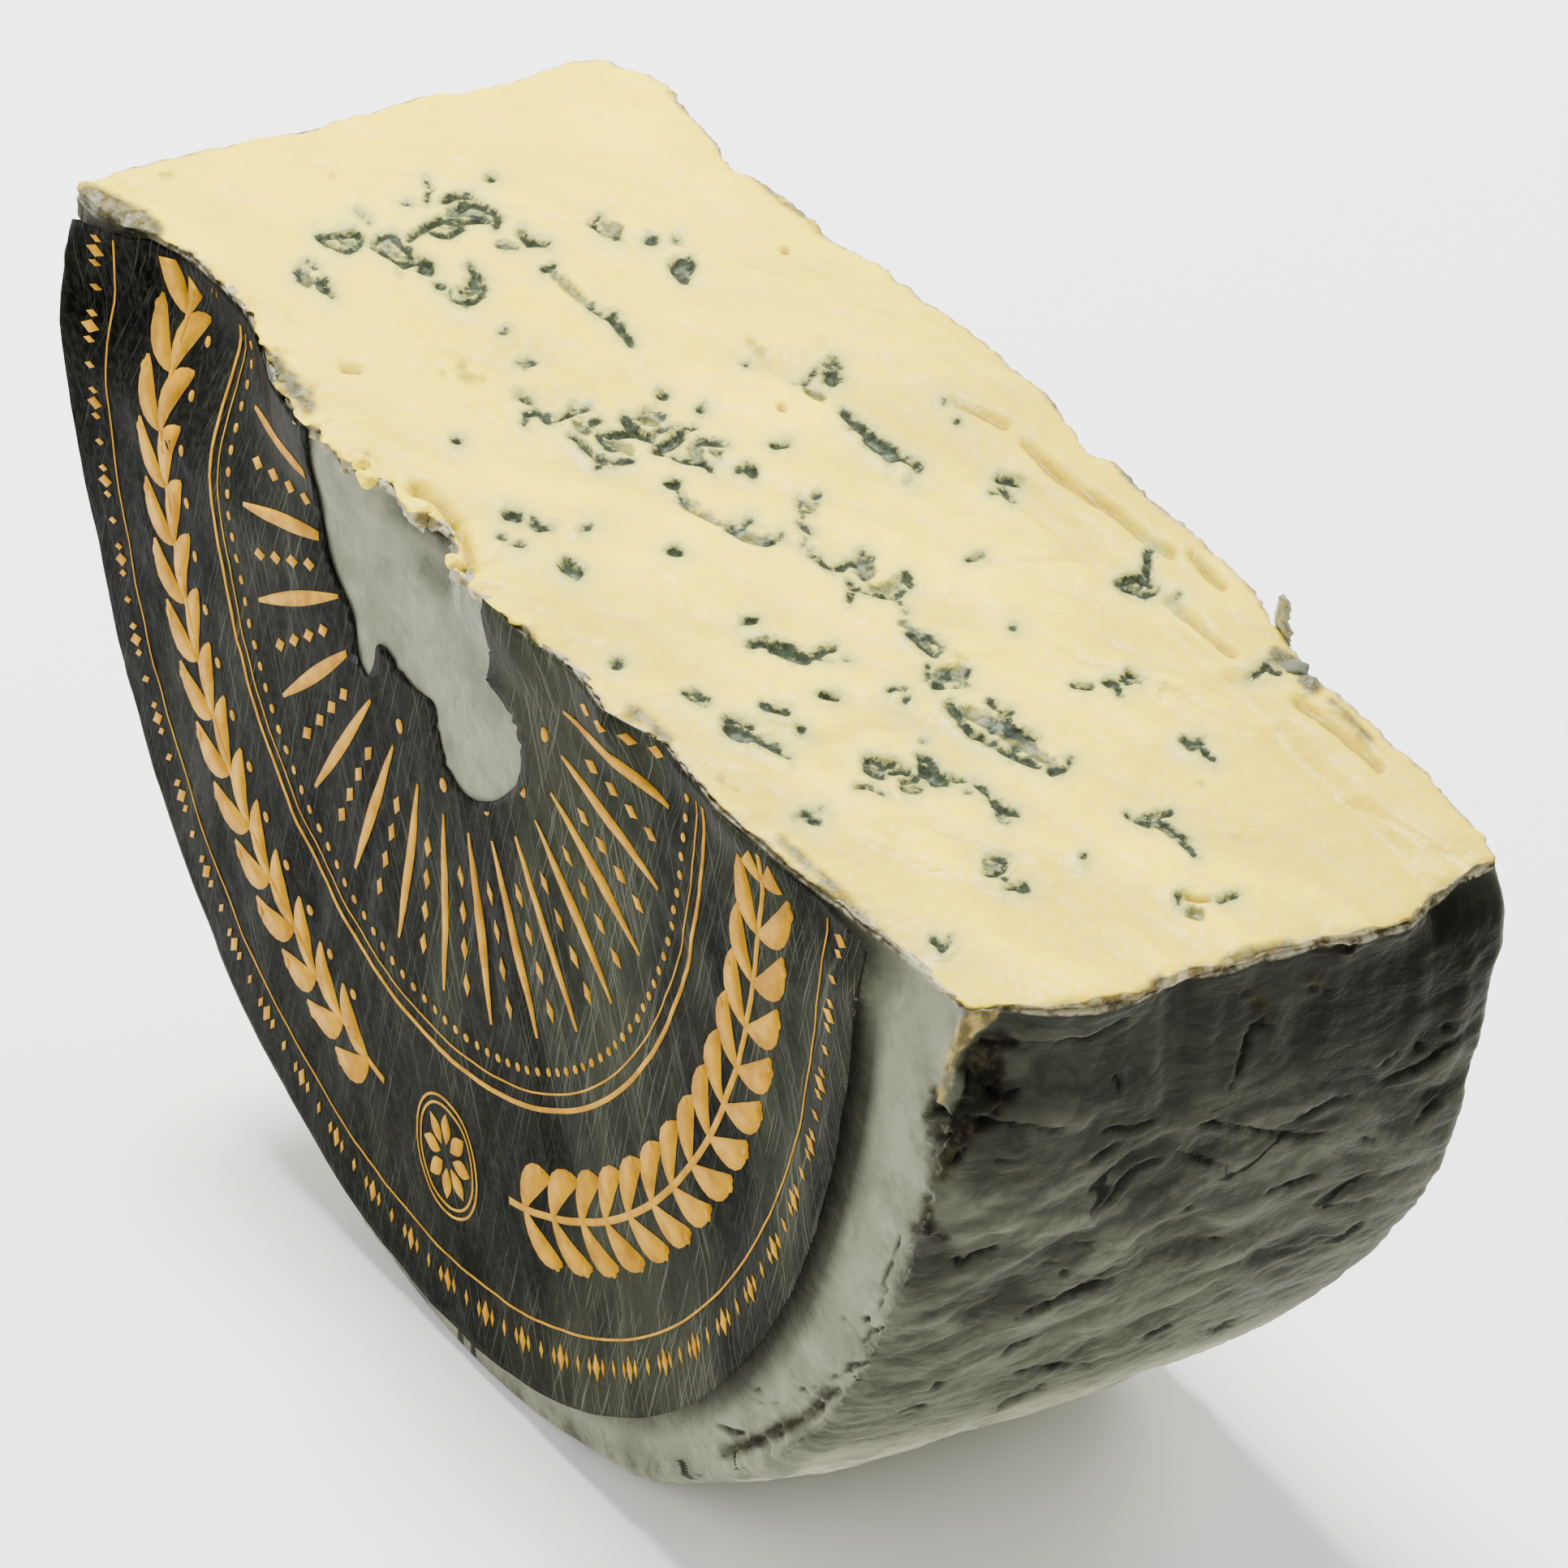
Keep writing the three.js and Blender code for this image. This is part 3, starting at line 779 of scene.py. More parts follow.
# Grey-brown rind that lies on the rim of the cut
TUFTS = {
    "far corner": (20.0, (100, 244), (120, 256), (145, 267), (170, 275)),
    "far corner end": (10.0, (170, 275), (192, 281)),
    "front tuft": (10.0, (338, 436), (348, 462), (368, 482), (382, 497)),
    "front tuft inner": (5.0, (356, 456), (366, 472), (382, 480)),
    "lump crack": (3.5, (437, 569), (446, 562), (453, 556)),
    "lump edge": (4.0, (404, 548), (412, 556)),
    "medal tuft": (7.0, (776, 868), (796, 880), (812, 896), (824, 906)),
    "brown speck": (3.0, (886, 953), (890, 957)),
    "brown speck two": (3.0, (903, 965), (907, 969)),
    "front rim": (4.0, (960, 1035), (1000, 1070), (1040, 1104), (1080, 1140), (1120, 1180)),
    "near rim": (5.0, (1762, 1108), (1780, 1094), (1800, 1080), (1822, 1066), (1838, 1060)),
    "near rim west": (3.4, (1400, 1224), (1414, 1214), (1430, 1206)),
    "near rim mid": (2.4, (1506, 1182), (1520, 1178), (1556, 1168), (1588, 1162)),
    "back fold": (12.0, (1572, 812), (1590, 816), (1604, 830), (1616, 846)),
    "back fold east": (4.0, (1640, 868), (1668, 890), (1690, 915)),
    "back edge": (3.0, (1362, 562), (1380, 574), (1400, 590), (1412, 602)),
    "far back edge": (3.0, (886, 180), (930, 214), (966, 246), (1016, 286)),
}
# On the rind: dark cracks and slits
CRACKS = {
    "torn corner one": (6.0, (1206, 1330), (1222, 1345), (1240, 1352), (1258, 1340)),
    "torn corner two": (6.0, (1192, 1378), (1214, 1387), (1242, 1380)),
    "torn corner three": (4.5, (1138, 1374), (1152, 1366), (1168, 1382)),
    "torn corner four": (4.5, (1148, 1402), (1168, 1407), (1182, 1398)),
    "torn corner five": (4.0, (1184, 1308), (1196, 1330), (1190, 1352)),
    "torn corner six": (4.0, (1212, 1288), (1236, 1284), (1262, 1292)),
    "long crack west": (2.4, (1207, 1382), (1237, 1382), (1268, 1384), (1293, 1388), (1324, 1384)),
    "long crack mid": (4.2, (1358, 1394), (1377, 1392), (1400, 1390), (1423, 1383)),
    "long crack east": (4.6, (1480, 1389), (1497, 1387), (1512, 1391)),
    "long crack far east": (
        3.2, (1512, 1391), (1530, 1392), (1557, 1398), (1593, 1403), (1623, 1400), (1639, 1392),
    ),
    "under lip": (1.6, (1240, 1282), (1293, 1282), (1334, 1276), (1367, 1264), (1388, 1254)),
    "hook": (1.8, (1372, 1323), (1377, 1333), (1374, 1345)),
    "east slit": (3.4, (1560, 1257), (1541, 1275), (1534, 1301), (1527, 1321), (1514, 1344)),
    "east slit head": (2.6, (1541, 1268), (1555, 1266), (1570, 1266)),
    "slant one": (2.6, (1344, 1431), (1360, 1420), (1380, 1407)),
    "slant two": (2.8, (1342, 1499), (1365, 1481), (1385, 1461), (1400, 1443), (1436, 1430)),
    "slant three": (2.6, (1449, 1425), (1472, 1431), (1497, 1438), (1513, 1440), (1518, 1455)),
    "blob": (6.0, (1176, 1557), (1186, 1560)),
    "blob tail": (3.0, (1186, 1560), (1199, 1552), (1214, 1547), (1232, 1541)),
    "dash one": (2.6, (1322, 1538), (1339, 1537), (1350, 1532)),
    "dash two": (2.0, (1283, 1559), (1294, 1561), (1305, 1560)),
    "dash three": (2.2, (1306, 1573), (1318, 1567)),
    "dash four": (2.6, (1457, 1492), (1470, 1490)),
    "dash five": (2.4, (1492, 1533), (1508, 1533)),
    "dash six": (1.8, (1229, 1430), (1247, 1431), (1258, 1429)),
    "shoulder one": (2.2, (1145, 1410), (1149, 1435)),
    "shoulder two": (3.2, (1176, 1436), (1183, 1425), (1192, 1418)),
    "lower long": (2.6, (1252, 1624), (1283, 1611), (1309, 1599), (1347, 1586), (1372, 1578)),
    "lower two": (3.8, (1237, 1673), (1246, 1663), (1255, 1657)),
    "lower three": (2.8, (1258, 1660), (1274, 1652)),
    "lower four": (2.6, (1252, 1699), (1268, 1693), (1293, 1688), (1324, 1680), (1339, 1678)),
    "lower five": (2.4, (1229, 1735), (1240, 1729), (1260, 1721), (1286, 1708)),
    "lower six": (2.6, (1145, 1709), (1155, 1705), (1164, 1701)),
    "lower seven": (3.6, (1107, 1740), (1124, 1736), (1143, 1731)),
    "lower eight": (2.6, (1405, 1644), (1426, 1637), (1444, 1627)),
    "lower nine": (2.6, (1485, 1639), (1502, 1634), (1523, 1621)),
    "east one": (3.8, (1789, 1262), (1784, 1275)),
    "east two": (4.8, (1756, 1288), (1746, 1301)),
    "east three": (2.6, (1776, 1301), (1756, 1316), (1731, 1326), (1700, 1339)),
    "east four": (2.2, (1578, 1390), (1593, 1385), (1629, 1362), (1669, 1349)),
    "east five": (3.0, (1674, 1403), (1684, 1404), (1695, 1405)),
    "east six": (3.0, (1746, 1387), (1764, 1372), (1779, 1357)),
    "east seven": (2.0, (1726, 1296), (1705, 1311), (1695, 1318)),
    "east eight": (2.4, (1560, 1470), (1590, 1461), (1622, 1446)),
    "east nine": (2.4, (1640, 1530), (1662, 1518), (1680, 1502)),
    "shoulder crack": (3.4, (1117, 1505), (1104, 1526), (1099, 1551), (1089, 1571), (1082, 1620)),
    "shoulder crack low": (3.0, (1064, 1655), (1068, 1643), (1086, 1636)),
    "shoulder crack end": (2.4, (1018, 1697), (1033, 1695), (1043, 1684), (1074, 1679)),
    "ring slit one": (2.0, (955, 1729), (957, 1738)),
    "ring slit two": (1.8, (936, 1723), (940, 1733)),
    "ring slit three": (2.0, (968, 1723), (969, 1731)),
    "ring slit four": (2.2, (985, 1703), (987, 1715)),
    "ring slit five": (2.2, (1001, 1699), (1002, 1710)),
    "ring slit six": (1.8, (935, 1711), (935, 1718)),
    "ring dot": (2.6, (981, 1625), (983, 1626)),
    "ring hook": (2.2, (1038, 1615), (1043, 1628), (1048, 1633)),
    "ring blot": (3.6, (1059, 1628), (1071, 1625)),
    "ring pits": (3.0, (886, 1756), (900, 1762)),
    "ring pits low": (3.0, (905, 1768), (918, 1764)),
}
# Wide shallow dips, darkened with painted shade
DIPS = {
    # A painted shadow under the paste that hangs over the bay
    "bay shadow": (9.0, (500, 628), (522, 640), (540, 655), (552, 676)),
    "bay shadow low": (7.0, (536, 690), (545, 715)),
    "upright groove": (10.0, (1459, 1206), (1457, 1257), (1454, 1308), (1453, 1353)),
    "far corner": (11.0, (98, 264), (118, 274), (142, 284), (158, 290)),
    "mid dip": (13.0, (1400, 1455), (1420, 1440), (1440, 1425)),
    "mid dip east": (8.0, (1476, 1416), (1484, 1410)),
    "low dip": (11.0, (1195, 1610), (1220, 1602), (1242, 1596)),
    "low dip east": (11.0, (1420, 1534), (1446, 1528), (1472, 1524)),
    "shoulder dip": (14.0, (1136, 1570), (1146, 1558), (1150, 1545)),
    "east groove": (6.0, (1613, 1244), (1608, 1275), (1603, 1301)),
    "low east dip": (10.0, (1560, 1560), (1590, 1548), (1620, 1530)),
}
# Raised pleats between them, lightened with a painted highlight
RIDGES = {
    "under lip": (4.0, (1236, 1272), (1290, 1274), (1334, 1266), (1380, 1240)),
    "pale patch": (12.0, (1248, 1294), (1250, 1312)),
    "east one": (3.0, (1751, 1199), (1754, 1237), (1748, 1262), (1728, 1288), (1700, 1318)),
    "east two": (3.0, (1810, 1180), (1806, 1230), (1796, 1290), (1776, 1330)),
    "slant one": (6.0, (1240, 1512), (1290, 1508), (1340, 1505)),
    "slant two": (6.0, (1296, 1590), (1340, 1560), (1370, 1540), (1410, 1520)),
    "slant three": (5.0, (1180, 1600), (1230, 1572), (1280, 1548)),
    "slant four": (5.0, (1130, 1680), (1180, 1650), (1230, 1630), (1290, 1620)),
    "slant five": (5.0, (1340, 1640), (1380, 1620), (1420, 1600), (1480, 1590)),
    "crack rim": (4.0, (1210, 1374), (1260, 1374), (1330, 1376)),
    "crack rim east": (4.0, (1540, 1382), (1580, 1376), (1630, 1350)),
}
# Brown stains, and paste that was dragged down over the torn corner
BROWN = {
    "torn corner": (22.0, (1212, 1312), (1216, 1340), (1206, 1368), (1184, 1392)),
    "torn corner top": (11.0, (1190, 1318), (1206, 1294), (1232, 1282)),
    "torn corner west": (9.0, (1152, 1352), (1146, 1380), (1156, 1400)),
    "torn corner low": (10.0, (1174, 1400), (1168, 1428), (1158, 1446)),
    "torn corner scraps": (5.0, (1136, 1480), (1140, 1504), (1152, 1524)),
    # Brown, with a painted shadow under the paste that hangs over the bay
    "bay shadow": (5.0, (518, 640), (536, 652), (549, 672)),
    "lip stain": (4.0, (1630, 1160), (1648, 1163), (1666, 1162)),
    "spot": (6.0, (1620, 1212), (1628, 1216)),
    "spot west": (4.0, (1538, 1226), (1550, 1232), (1558, 1242)),
    "shoulder": (6.0, (895, 1788), (931, 1776), (964, 1760), (990, 1745), (1018, 1717)),
    "shoulder high": (5.0, (1128, 1515), (1146, 1520), (1160, 1530)),
}
DRAGGED = {
    "tongue foot": (16.0, (1212, 1240), (1202, 1254)),
    "tongue": (11.0, (1202, 1254), (1190, 1272)),
    "tongue mid": (7.0, (1190, 1272), (1178, 1294), (1172, 1312)),
    "tongue tip": (4.0, (1172, 1312), (1164, 1336), (1158, 1356)),
}


# Millimetres, past which no mark is felt, and pixels, past which a stroke isn't looked at
FAR_OFF = 9.0
FAR_PIXELS = 90.0


def distance_to(strokes, pixels, pointed=False):
    """Millimetres from each pixel to the nearest of the strokes' edges, less than 0 inside."""
    nearest = np.full(len(pixels), 1e6)
    for width, *points in strokes.values():
        path = np.array(points, dtype=float)
        low = path.min(axis=0) - FAR_PIXELS
        high = path.max(axis=0) + FAR_PIXELS
        close = np.nonzero(np.all((pixels > low) & (pixels < high), axis=1))[0]
        spots = pixels[close]
        best = np.full(len(close), 1e6)
        lengths = np.linalg.norm(np.diff(path, axis=0), axis=1)
        done = 0.0
        for start, end, length in zip(path[:-1], path[1:], lengths):
            step = end - start
            t = np.clip((spots - start) @ step / max(step @ step, 1e-9), 0.0, 1.0)
            half = np.full(len(close), width)
            if pointed:
                half = width * (0.2 + 0.8 * np.sin((done + t * length) / lengths.sum() * math.pi))
            best = np.minimum(best, np.linalg.norm(spots - start - t[:, None] * step, axis=1) - half)
            done += length
        nearest[close] = np.minimum(nearest[close], best)
    return np.clip(nearest / PX, -3.0, FAR_OFF)


CUT_MARKS = {
    "mould": POCKETS, "floor": FLOORS, "stain": STAINS, "orange": ORANGE,
    "fold": FOLDS, "pleat": PLEATS, "tuft": TUFTS,
}
RIND_MARKS = {"crack": CRACKS, "dip_and_shade": DIPS, "ridge": RIDGES, "brown": BROWN, "dragged": DRAGGED}

# Lumps on the rim: pixel, size in millimetres, how deep they sink, and 0 for paste or 1 for rind
CRUMBS = {
    "yellow lump": ((452, 584), (1.3, 0.9, 0.8), 0.6, 0),
    "lump top": ((444, 566), (1.2, 0.9, 0.8), 0.3, 0),
    "lump low": ((562, 686), (1.4, 0.9, 0.9), 0.7, 0),
    "back fold bit": ((1594, 822), (1.6, 1.4, 0.8), 0.3, 1),
    "back fold bit two": ((1612, 842), (1.2, 1.3, 0.7), 0.3, 1),
}
FLAKE_FOOT = (1580, 776)
FLAKE_WIDTH = 3.2
FLAKE_HEIGHT = 4.4
FLAKE_ROOT = 1.6
FLAKE_THICKNESS = 0.35

# Screen colours
PASTE_LIGHT = (255, 226, 30)
PASTE_MID = (250, 217, 24)
PASTE_WARM = (238, 204, 22)
PASTE_TAN = (214, 187, 42)
PASTE_FOLD = (146, 124, 0)
EDGE_DARK = (74, 68, 52)
EDGE_PALE = (158, 152, 124)
HAZE = (164, 180, 110)
HAZE_NEAR = (98, 114, 82)
MOULD_DARK = (25, 31, 24)
MOULD_CORE = (52, 60, 49)
MOULD_PALE = (108, 117, 99)
FLOOR_PALE = (86, 98, 76)
FLOOR_DARK = (30, 37, 29)
STAIN = (122, 122, 40)
ORANGE_WAX = (150, 119, 0)
TUFT_DARK = (40, 40, 30)
TUFT_PALE = (88, 89, 70)
RIND_SHADE = (14, 15, 11)
RIND_DARK = (40, 42, 34)
RIND_MID = (66, 68, 57)
RIND_LIGHT = (74, 77, 64)
RIND_FLOOR_LIGHT = (212, 214, 180)
RIND_HIGHLIGHT = (108, 110, 94)
RIND_SHOULDER = (78, 80, 68)
RING_LIGHT = (121, 123, 104)
RING_MID = (96, 99, 83)
CRACK = (8, 8, 5)
BROWN_DARK = (16, 13, 7)
BROWN_LIGHT = (46, 42, 28)
SMEAR_PALE = (158, 140, 78)
SMEAR_DARK = (84, 74, 46)
PAINTED_GLINT = (255, 246, 190)
RIND_SHEEN = (226, 230, 200)
FILM_DARK = (6, 7, 5)
FILM_MID = (12, 13, 10)
FILM_SHEEN = (46, 48, 38)
FILM_LIGHT = (86, 88, 76)
GOLD_LIGHT = (180, 132, 0)
GOLD_DARK = (146, 101, 0)


# Materials

def material(name):
    made = bpy.data.materials.new(name)
    made.use_nodes = True
    return made, made.node_tree, made.node_tree.nodes["Principled BSDF"]


def add(tree, kind, **settings):
    node = tree.nodes.new(kind)
    for key, value in settings.items():
        if key in node.inputs:
            node.inputs[key].default_value = value
        else:
            setattr(node, key, value)
    return node


def linear(r, g, b):
    """An 0 to 255 screen colour as the linear values that nodes hold."""
    return tuple(((c / 255.0) ** 2.2) for c in (r, g, b)) + (1.0,)


def feed(tree, socket, value):
    """Gives a socket a number, a screen colour or another node's output."""
    if isinstance(value, bpy.types.NodeSocket):
        tree.links.new(value, socket)
    elif socket.type == "RGBA":
        socket.default_value = linear(*value)
    else:
        socket.default_value = value


def object_place(tree):
    return add(tree, "ShaderNodeTexCoord").outputs["Object"]


def mapped(tree, kind, scale, turn=0.0):
    """Object coordinates, scaled, and turned round the axis of the wheel."""
    node = add(tree, "ShaderNodeMapping", vector_type=kind)
    node.inputs["Scale"].default_value = scale
    node.inputs["Rotation"].default_value = (0.0, turn, 0.0)
    feed(tree, node.inputs["Vector"], object_place(tree))
    return node.outputs["Vector"]


def noise_node(tree, scale, detail=3.0, rough=0.55, warp=0.0, source=None):
    node = add(tree, "ShaderNodeTexNoise", Detail=detail, Roughness=rough, Distortion=warp)
    feed(tree, node.inputs["Scale"], scale)
    feed(tree, node.inputs["Vector"], source or object_place(tree))
    return node.outputs["Fac"]


def attribute_node(tree, name):
    return add(tree, "ShaderNodeAttribute", attribute_name=name).outputs["Fac"]


def math_node(tree, operation, a, b=0.0, c=0.0, clamp=False):
    node = add(tree, "ShaderNodeMath", operation=operation, use_clamp=clamp)
    for socket, value in zip(node.inputs, (a, b, c)):
        feed(tree, socket, value)
    return node.outputs[0]


def remap(tree, value, low, high, to_low=0.0, to_high=1.0):
    node = add(tree, "ShaderNodeMapRange", interpolation_type="SMOOTHSTEP")
    ends = ("Value", "From Min", "From Max", "To Min", "To Max")
    for key, number in zip(ends, (value, low, high, to_low, to_high)):
        feed(tree, node.inputs[key], number)
    return node.outputs["Result"]


def blend(tree, share, below, above):
    """Mixes two colours, each a screen colour or a socket, by a share from a socket."""
    node = add(tree, "ShaderNodeMix", data_type="RGBA")
    for socket, value in zip((node.inputs[0], node.inputs[6], node.inputs[7]), (share, below, above)):
        feed(tree, socket, value)
    return node.outputs[2]


# Effects that several finishes share

def new_group(name, inputs, outputs):
    tree = bpy.data.node_groups.new(name, "ShaderNodeTree")
    for key, kind in inputs.items():
        tree.interface.new_socket(key, in_out="INPUT", socket_type="NodeSocket" + kind)
    for key, kind in outputs.items():
        tree.interface.new_socket(key, in_out="OUTPUT", socket_type="NodeSocket" + kind)
    return tree, add(tree, "NodeGroupInput").outputs, add(tree, "NodeGroupOutput").inputs


def ragged_group():
    """Makes a distance uneven, so that the edge of what it bounds is torn and not smooth."""
    inputs = {"Place": "Vector", "Away": "Float", "Scale": "Float", "Spread": "Float"}
    tree, given, result = new_group("ragged edge", inputs, {"Away": "Float"})
    spots = noise_node(tree, given["Scale"], 4.0, 0.65, 0.0, given["Place"])
    uneven = math_node(tree, "SUBTRACT", spots, 0.5)
    uneven = math_node(tree, "MULTIPLY", uneven, given["Spread"])
    feed(tree, result["Away"], math_node(tree, "ADD", given["Away"], uneven))
    return tree


def mottled_group():
    """Two colours in soft patches."""
    inputs = {"Place": "Vector", "Scale": "Float", "Low": "Float", "High": "Float"}
    inputs |= {"One": "Color", "Other": "Color"}
    tree, given, result = new_group("mottled", inputs, {"Color": "Color", "Mask": "Float"})
    spots = noise_node(tree, given["Scale"], 4.0, 0.6, 0.2, given["Place"])
    share = remap(tree, spots, given["Low"], given["High"])
    feed(tree, result["Color"], blend(tree, share, given["One"], given["Other"]))
    feed(tree, result["Mask"], share)
    return tree


def grain_group():
    """Small relief laid over a normal."""
    inputs = {"Place": "Vector", "Scale": "Float", "Strength": "Float", "Depth": "Float"}
    inputs |= {"Normal": "Vector"}
    tree, given, result = new_group("grain", inputs, {"Normal": "Vector"})
    relief = add(tree, "ShaderNodeBump")
    feed(tree, relief.inputs["Height"], noise_node(tree, given["Scale"], 3.0, 0.6, 0.3, given["Place"]))
    feed(tree, relief.inputs["Strength"], given["Strength"])
    feed(tree, relief.inputs["Distance"], given["Depth"])
    feed(tree, relief.inputs["Normal"], given["Normal"])
    feed(tree, result["Normal"], relief.outputs["Normal"])
    return tree


RAGGED = ragged_group()
MOTTLED = mottled_group()
GRAIN = grain_group()

# How torn the edges of marks are: the scale of the noise, and how many millimetres it moves them
FINE_TEAR = (700.0, 1.7)
SOFT_TEAR = (110.0, 3.0)
RIND_TEAR = 320.0


def use(tree, group, **values):
    node = add(tree, "ShaderNodeGroup", node_tree=group)
    feed(tree, node.inputs["Place"], object_place(tree))
    for key, value in values.items():
        feed(tree, node.inputs[key], value)
    return node.outputs


def ragged(tree, name, scale, spread):
    """A distance kept on the piece, with a torn edge."""
    return use(tree, RAGGED, Away=attribute_node(tree, name), Scale=scale, Spread=spread)["Away"]


def mottled(tree, scale, low, high, one, other):
    return use(tree, MOTTLED, Scale=scale, Low=low, High=high, One=one, Other=other)["Color"]


def lip_shade(tree):
    """The brown and grey of the rind where it was cut through."""
    return mottled(tree, 600.0, 0.37, 0.58, EDGE_DARK, EDGE_PALE)


def lay_over(tree, colour, shade, away, low, high, share):
    """Lays a shade over a colour by this share where away is under low, and none past high."""
    return blend(tree, remap(tree, away, low, high, share, 0.0), colour, shade)


def thin(tree, mask, share):
    """Lets only this share of a mask through."""
    return math_node(tree, "MULTIPLY", mask, share)


def patches(tree, scale, low, high):
    return use(tree, MOTTLED, Scale=scale, Low=low, High=high)["Mask"]


def grain(tree, layers):
    """Several sizes of small relief, the finest first: scale, strength and depth in metres."""
    normal = add(tree, "ShaderNodeNewGeometry").outputs["Normal"]
    for scale, strength, depth in layers:
        normal = use(tree, GRAIN, Scale=scale, Strength=strength, Depth=depth, Normal=normal)["Normal"]
    return normal


def paste_material():
    made, tree, shader = material("paste")
    mould = ragged(tree, "mould", *FINE_TEAR)
    colour = mottled(tree, 60.0, 0.3, 0.75, PASTE_LIGHT, PASTE_MID)
    colour = blend(tree, thin(tree, patches(tree, 16.0, 0.4, 0.66), 0.85), colour, PASTE_WARM)
    # Tan, and painted shade in the hollows of the cut
    colour = blend(tree, attribute_node(tree, "tan_and_hollow_shade"), colour, PASTE_TAN)
    colour = blend(tree, attribute_node(tree, "fold"), colour, PASTE_FOLD)

    # Blue-green haze round the mould, its grey floors, then the mould, darkest at its rim
    haze = ragged(tree, "mould", *SOFT_TEAR)
    colour = lay_over(tree, colour, HAZE, haze, 0.0, 2.4, 0.5)
    colour = lay_over(tree, colour, HAZE_NEAR, mould, 0.0, 0.9, 0.62)
    floor_shade = mottled(tree, 1100.0, 0.4, 0.6, FLOOR_PALE, FLOOR_DARK)
    floor = ragged(tree, "floor", *FINE_TEAR)
    colour = lay_over(tree, colour, floor_shade, floor, -0.3, 0.4, 0.88)
    stain = ragged(tree, "stain", *FINE_TEAR)
    colour = lay_over(tree, colour, STAIN, stain, -0.5, 0.5, 0.75)
    core = mottled(tree, 900.0, 0.35, 0.7, MOULD_CORE, MOULD_PALE)
    rim = mottled(tree, 900.0, 0.35, 0.7, MOULD_DARK, MOULD_CORE)
    mould_shade = lay_over(tree, rim, core, mould, -0.75, -0.35, 0.8)
    colour = lay_over(tree, colour, mould_shade, mould, -0.16, 0.22, 0.97)

    # Orange specks, the tan rim, the grey tufts and small painted glints
    colour = lay_over(tree, colour, ORANGE_WAX, attribute_node(tree, "orange"), -0.3, 0.2, 0.95)
    edge = ragged(tree, "edge", *SOFT_TEAR)
    colour = lay_over(tree, colour, lip_shade(tree), edge, -0.3, 0.8, 0.92)
    tuft = ragged(tree, "tuft", 110.0, 2.4)
    tuft_shade = mottled(tree, 700.0, 0.38, 0.6, TUFT_DARK, TUFT_PALE)
    colour = lay_over(tree, colour, tuft_shade, tuft, -0.6, 0.7, 0.95)
    # Painted glints: near-white specks in the colour
    painted_glints = math_node(tree, "MULTIPLY", patches(tree, 1500.0, 0.68, 0.75), patches(tree, 60.0, 0.5, 0.6))
    colour = blend(tree, painted_glints, colour, PAINTED_GLINT)
    feed(tree, shader.inputs["Base Color"], colour)

    wet = remap(tree, patches(tree, 240.0, 0.3, 0.7), 0.0, 1.0, 0.32, 0.54)
    dry = remap(tree, mould, -0.3, 0.3, 0.4, 0.0)
    feed(tree, shader.inputs["Roughness"], math_node(tree, "ADD", wet, dry, clamp=True))
    shader.inputs["Subsurface Weight"].default_value = 0.1
    shader.inputs["Subsurface Radius"].default_value = (0.004, 0.003, 0.0015)
    shader.inputs["Subsurface Scale"].default_value = 1.0
    shader.inputs["Specular IOR Level"].default_value = 0.1
    layers = ((1400.0, 0.4, 0.0002), (300.0, 0.5, 0.0006), (110.0, 0.4, 0.001))
    feed(tree, shader.inputs["Normal"], grain(tree, layers))
    return made


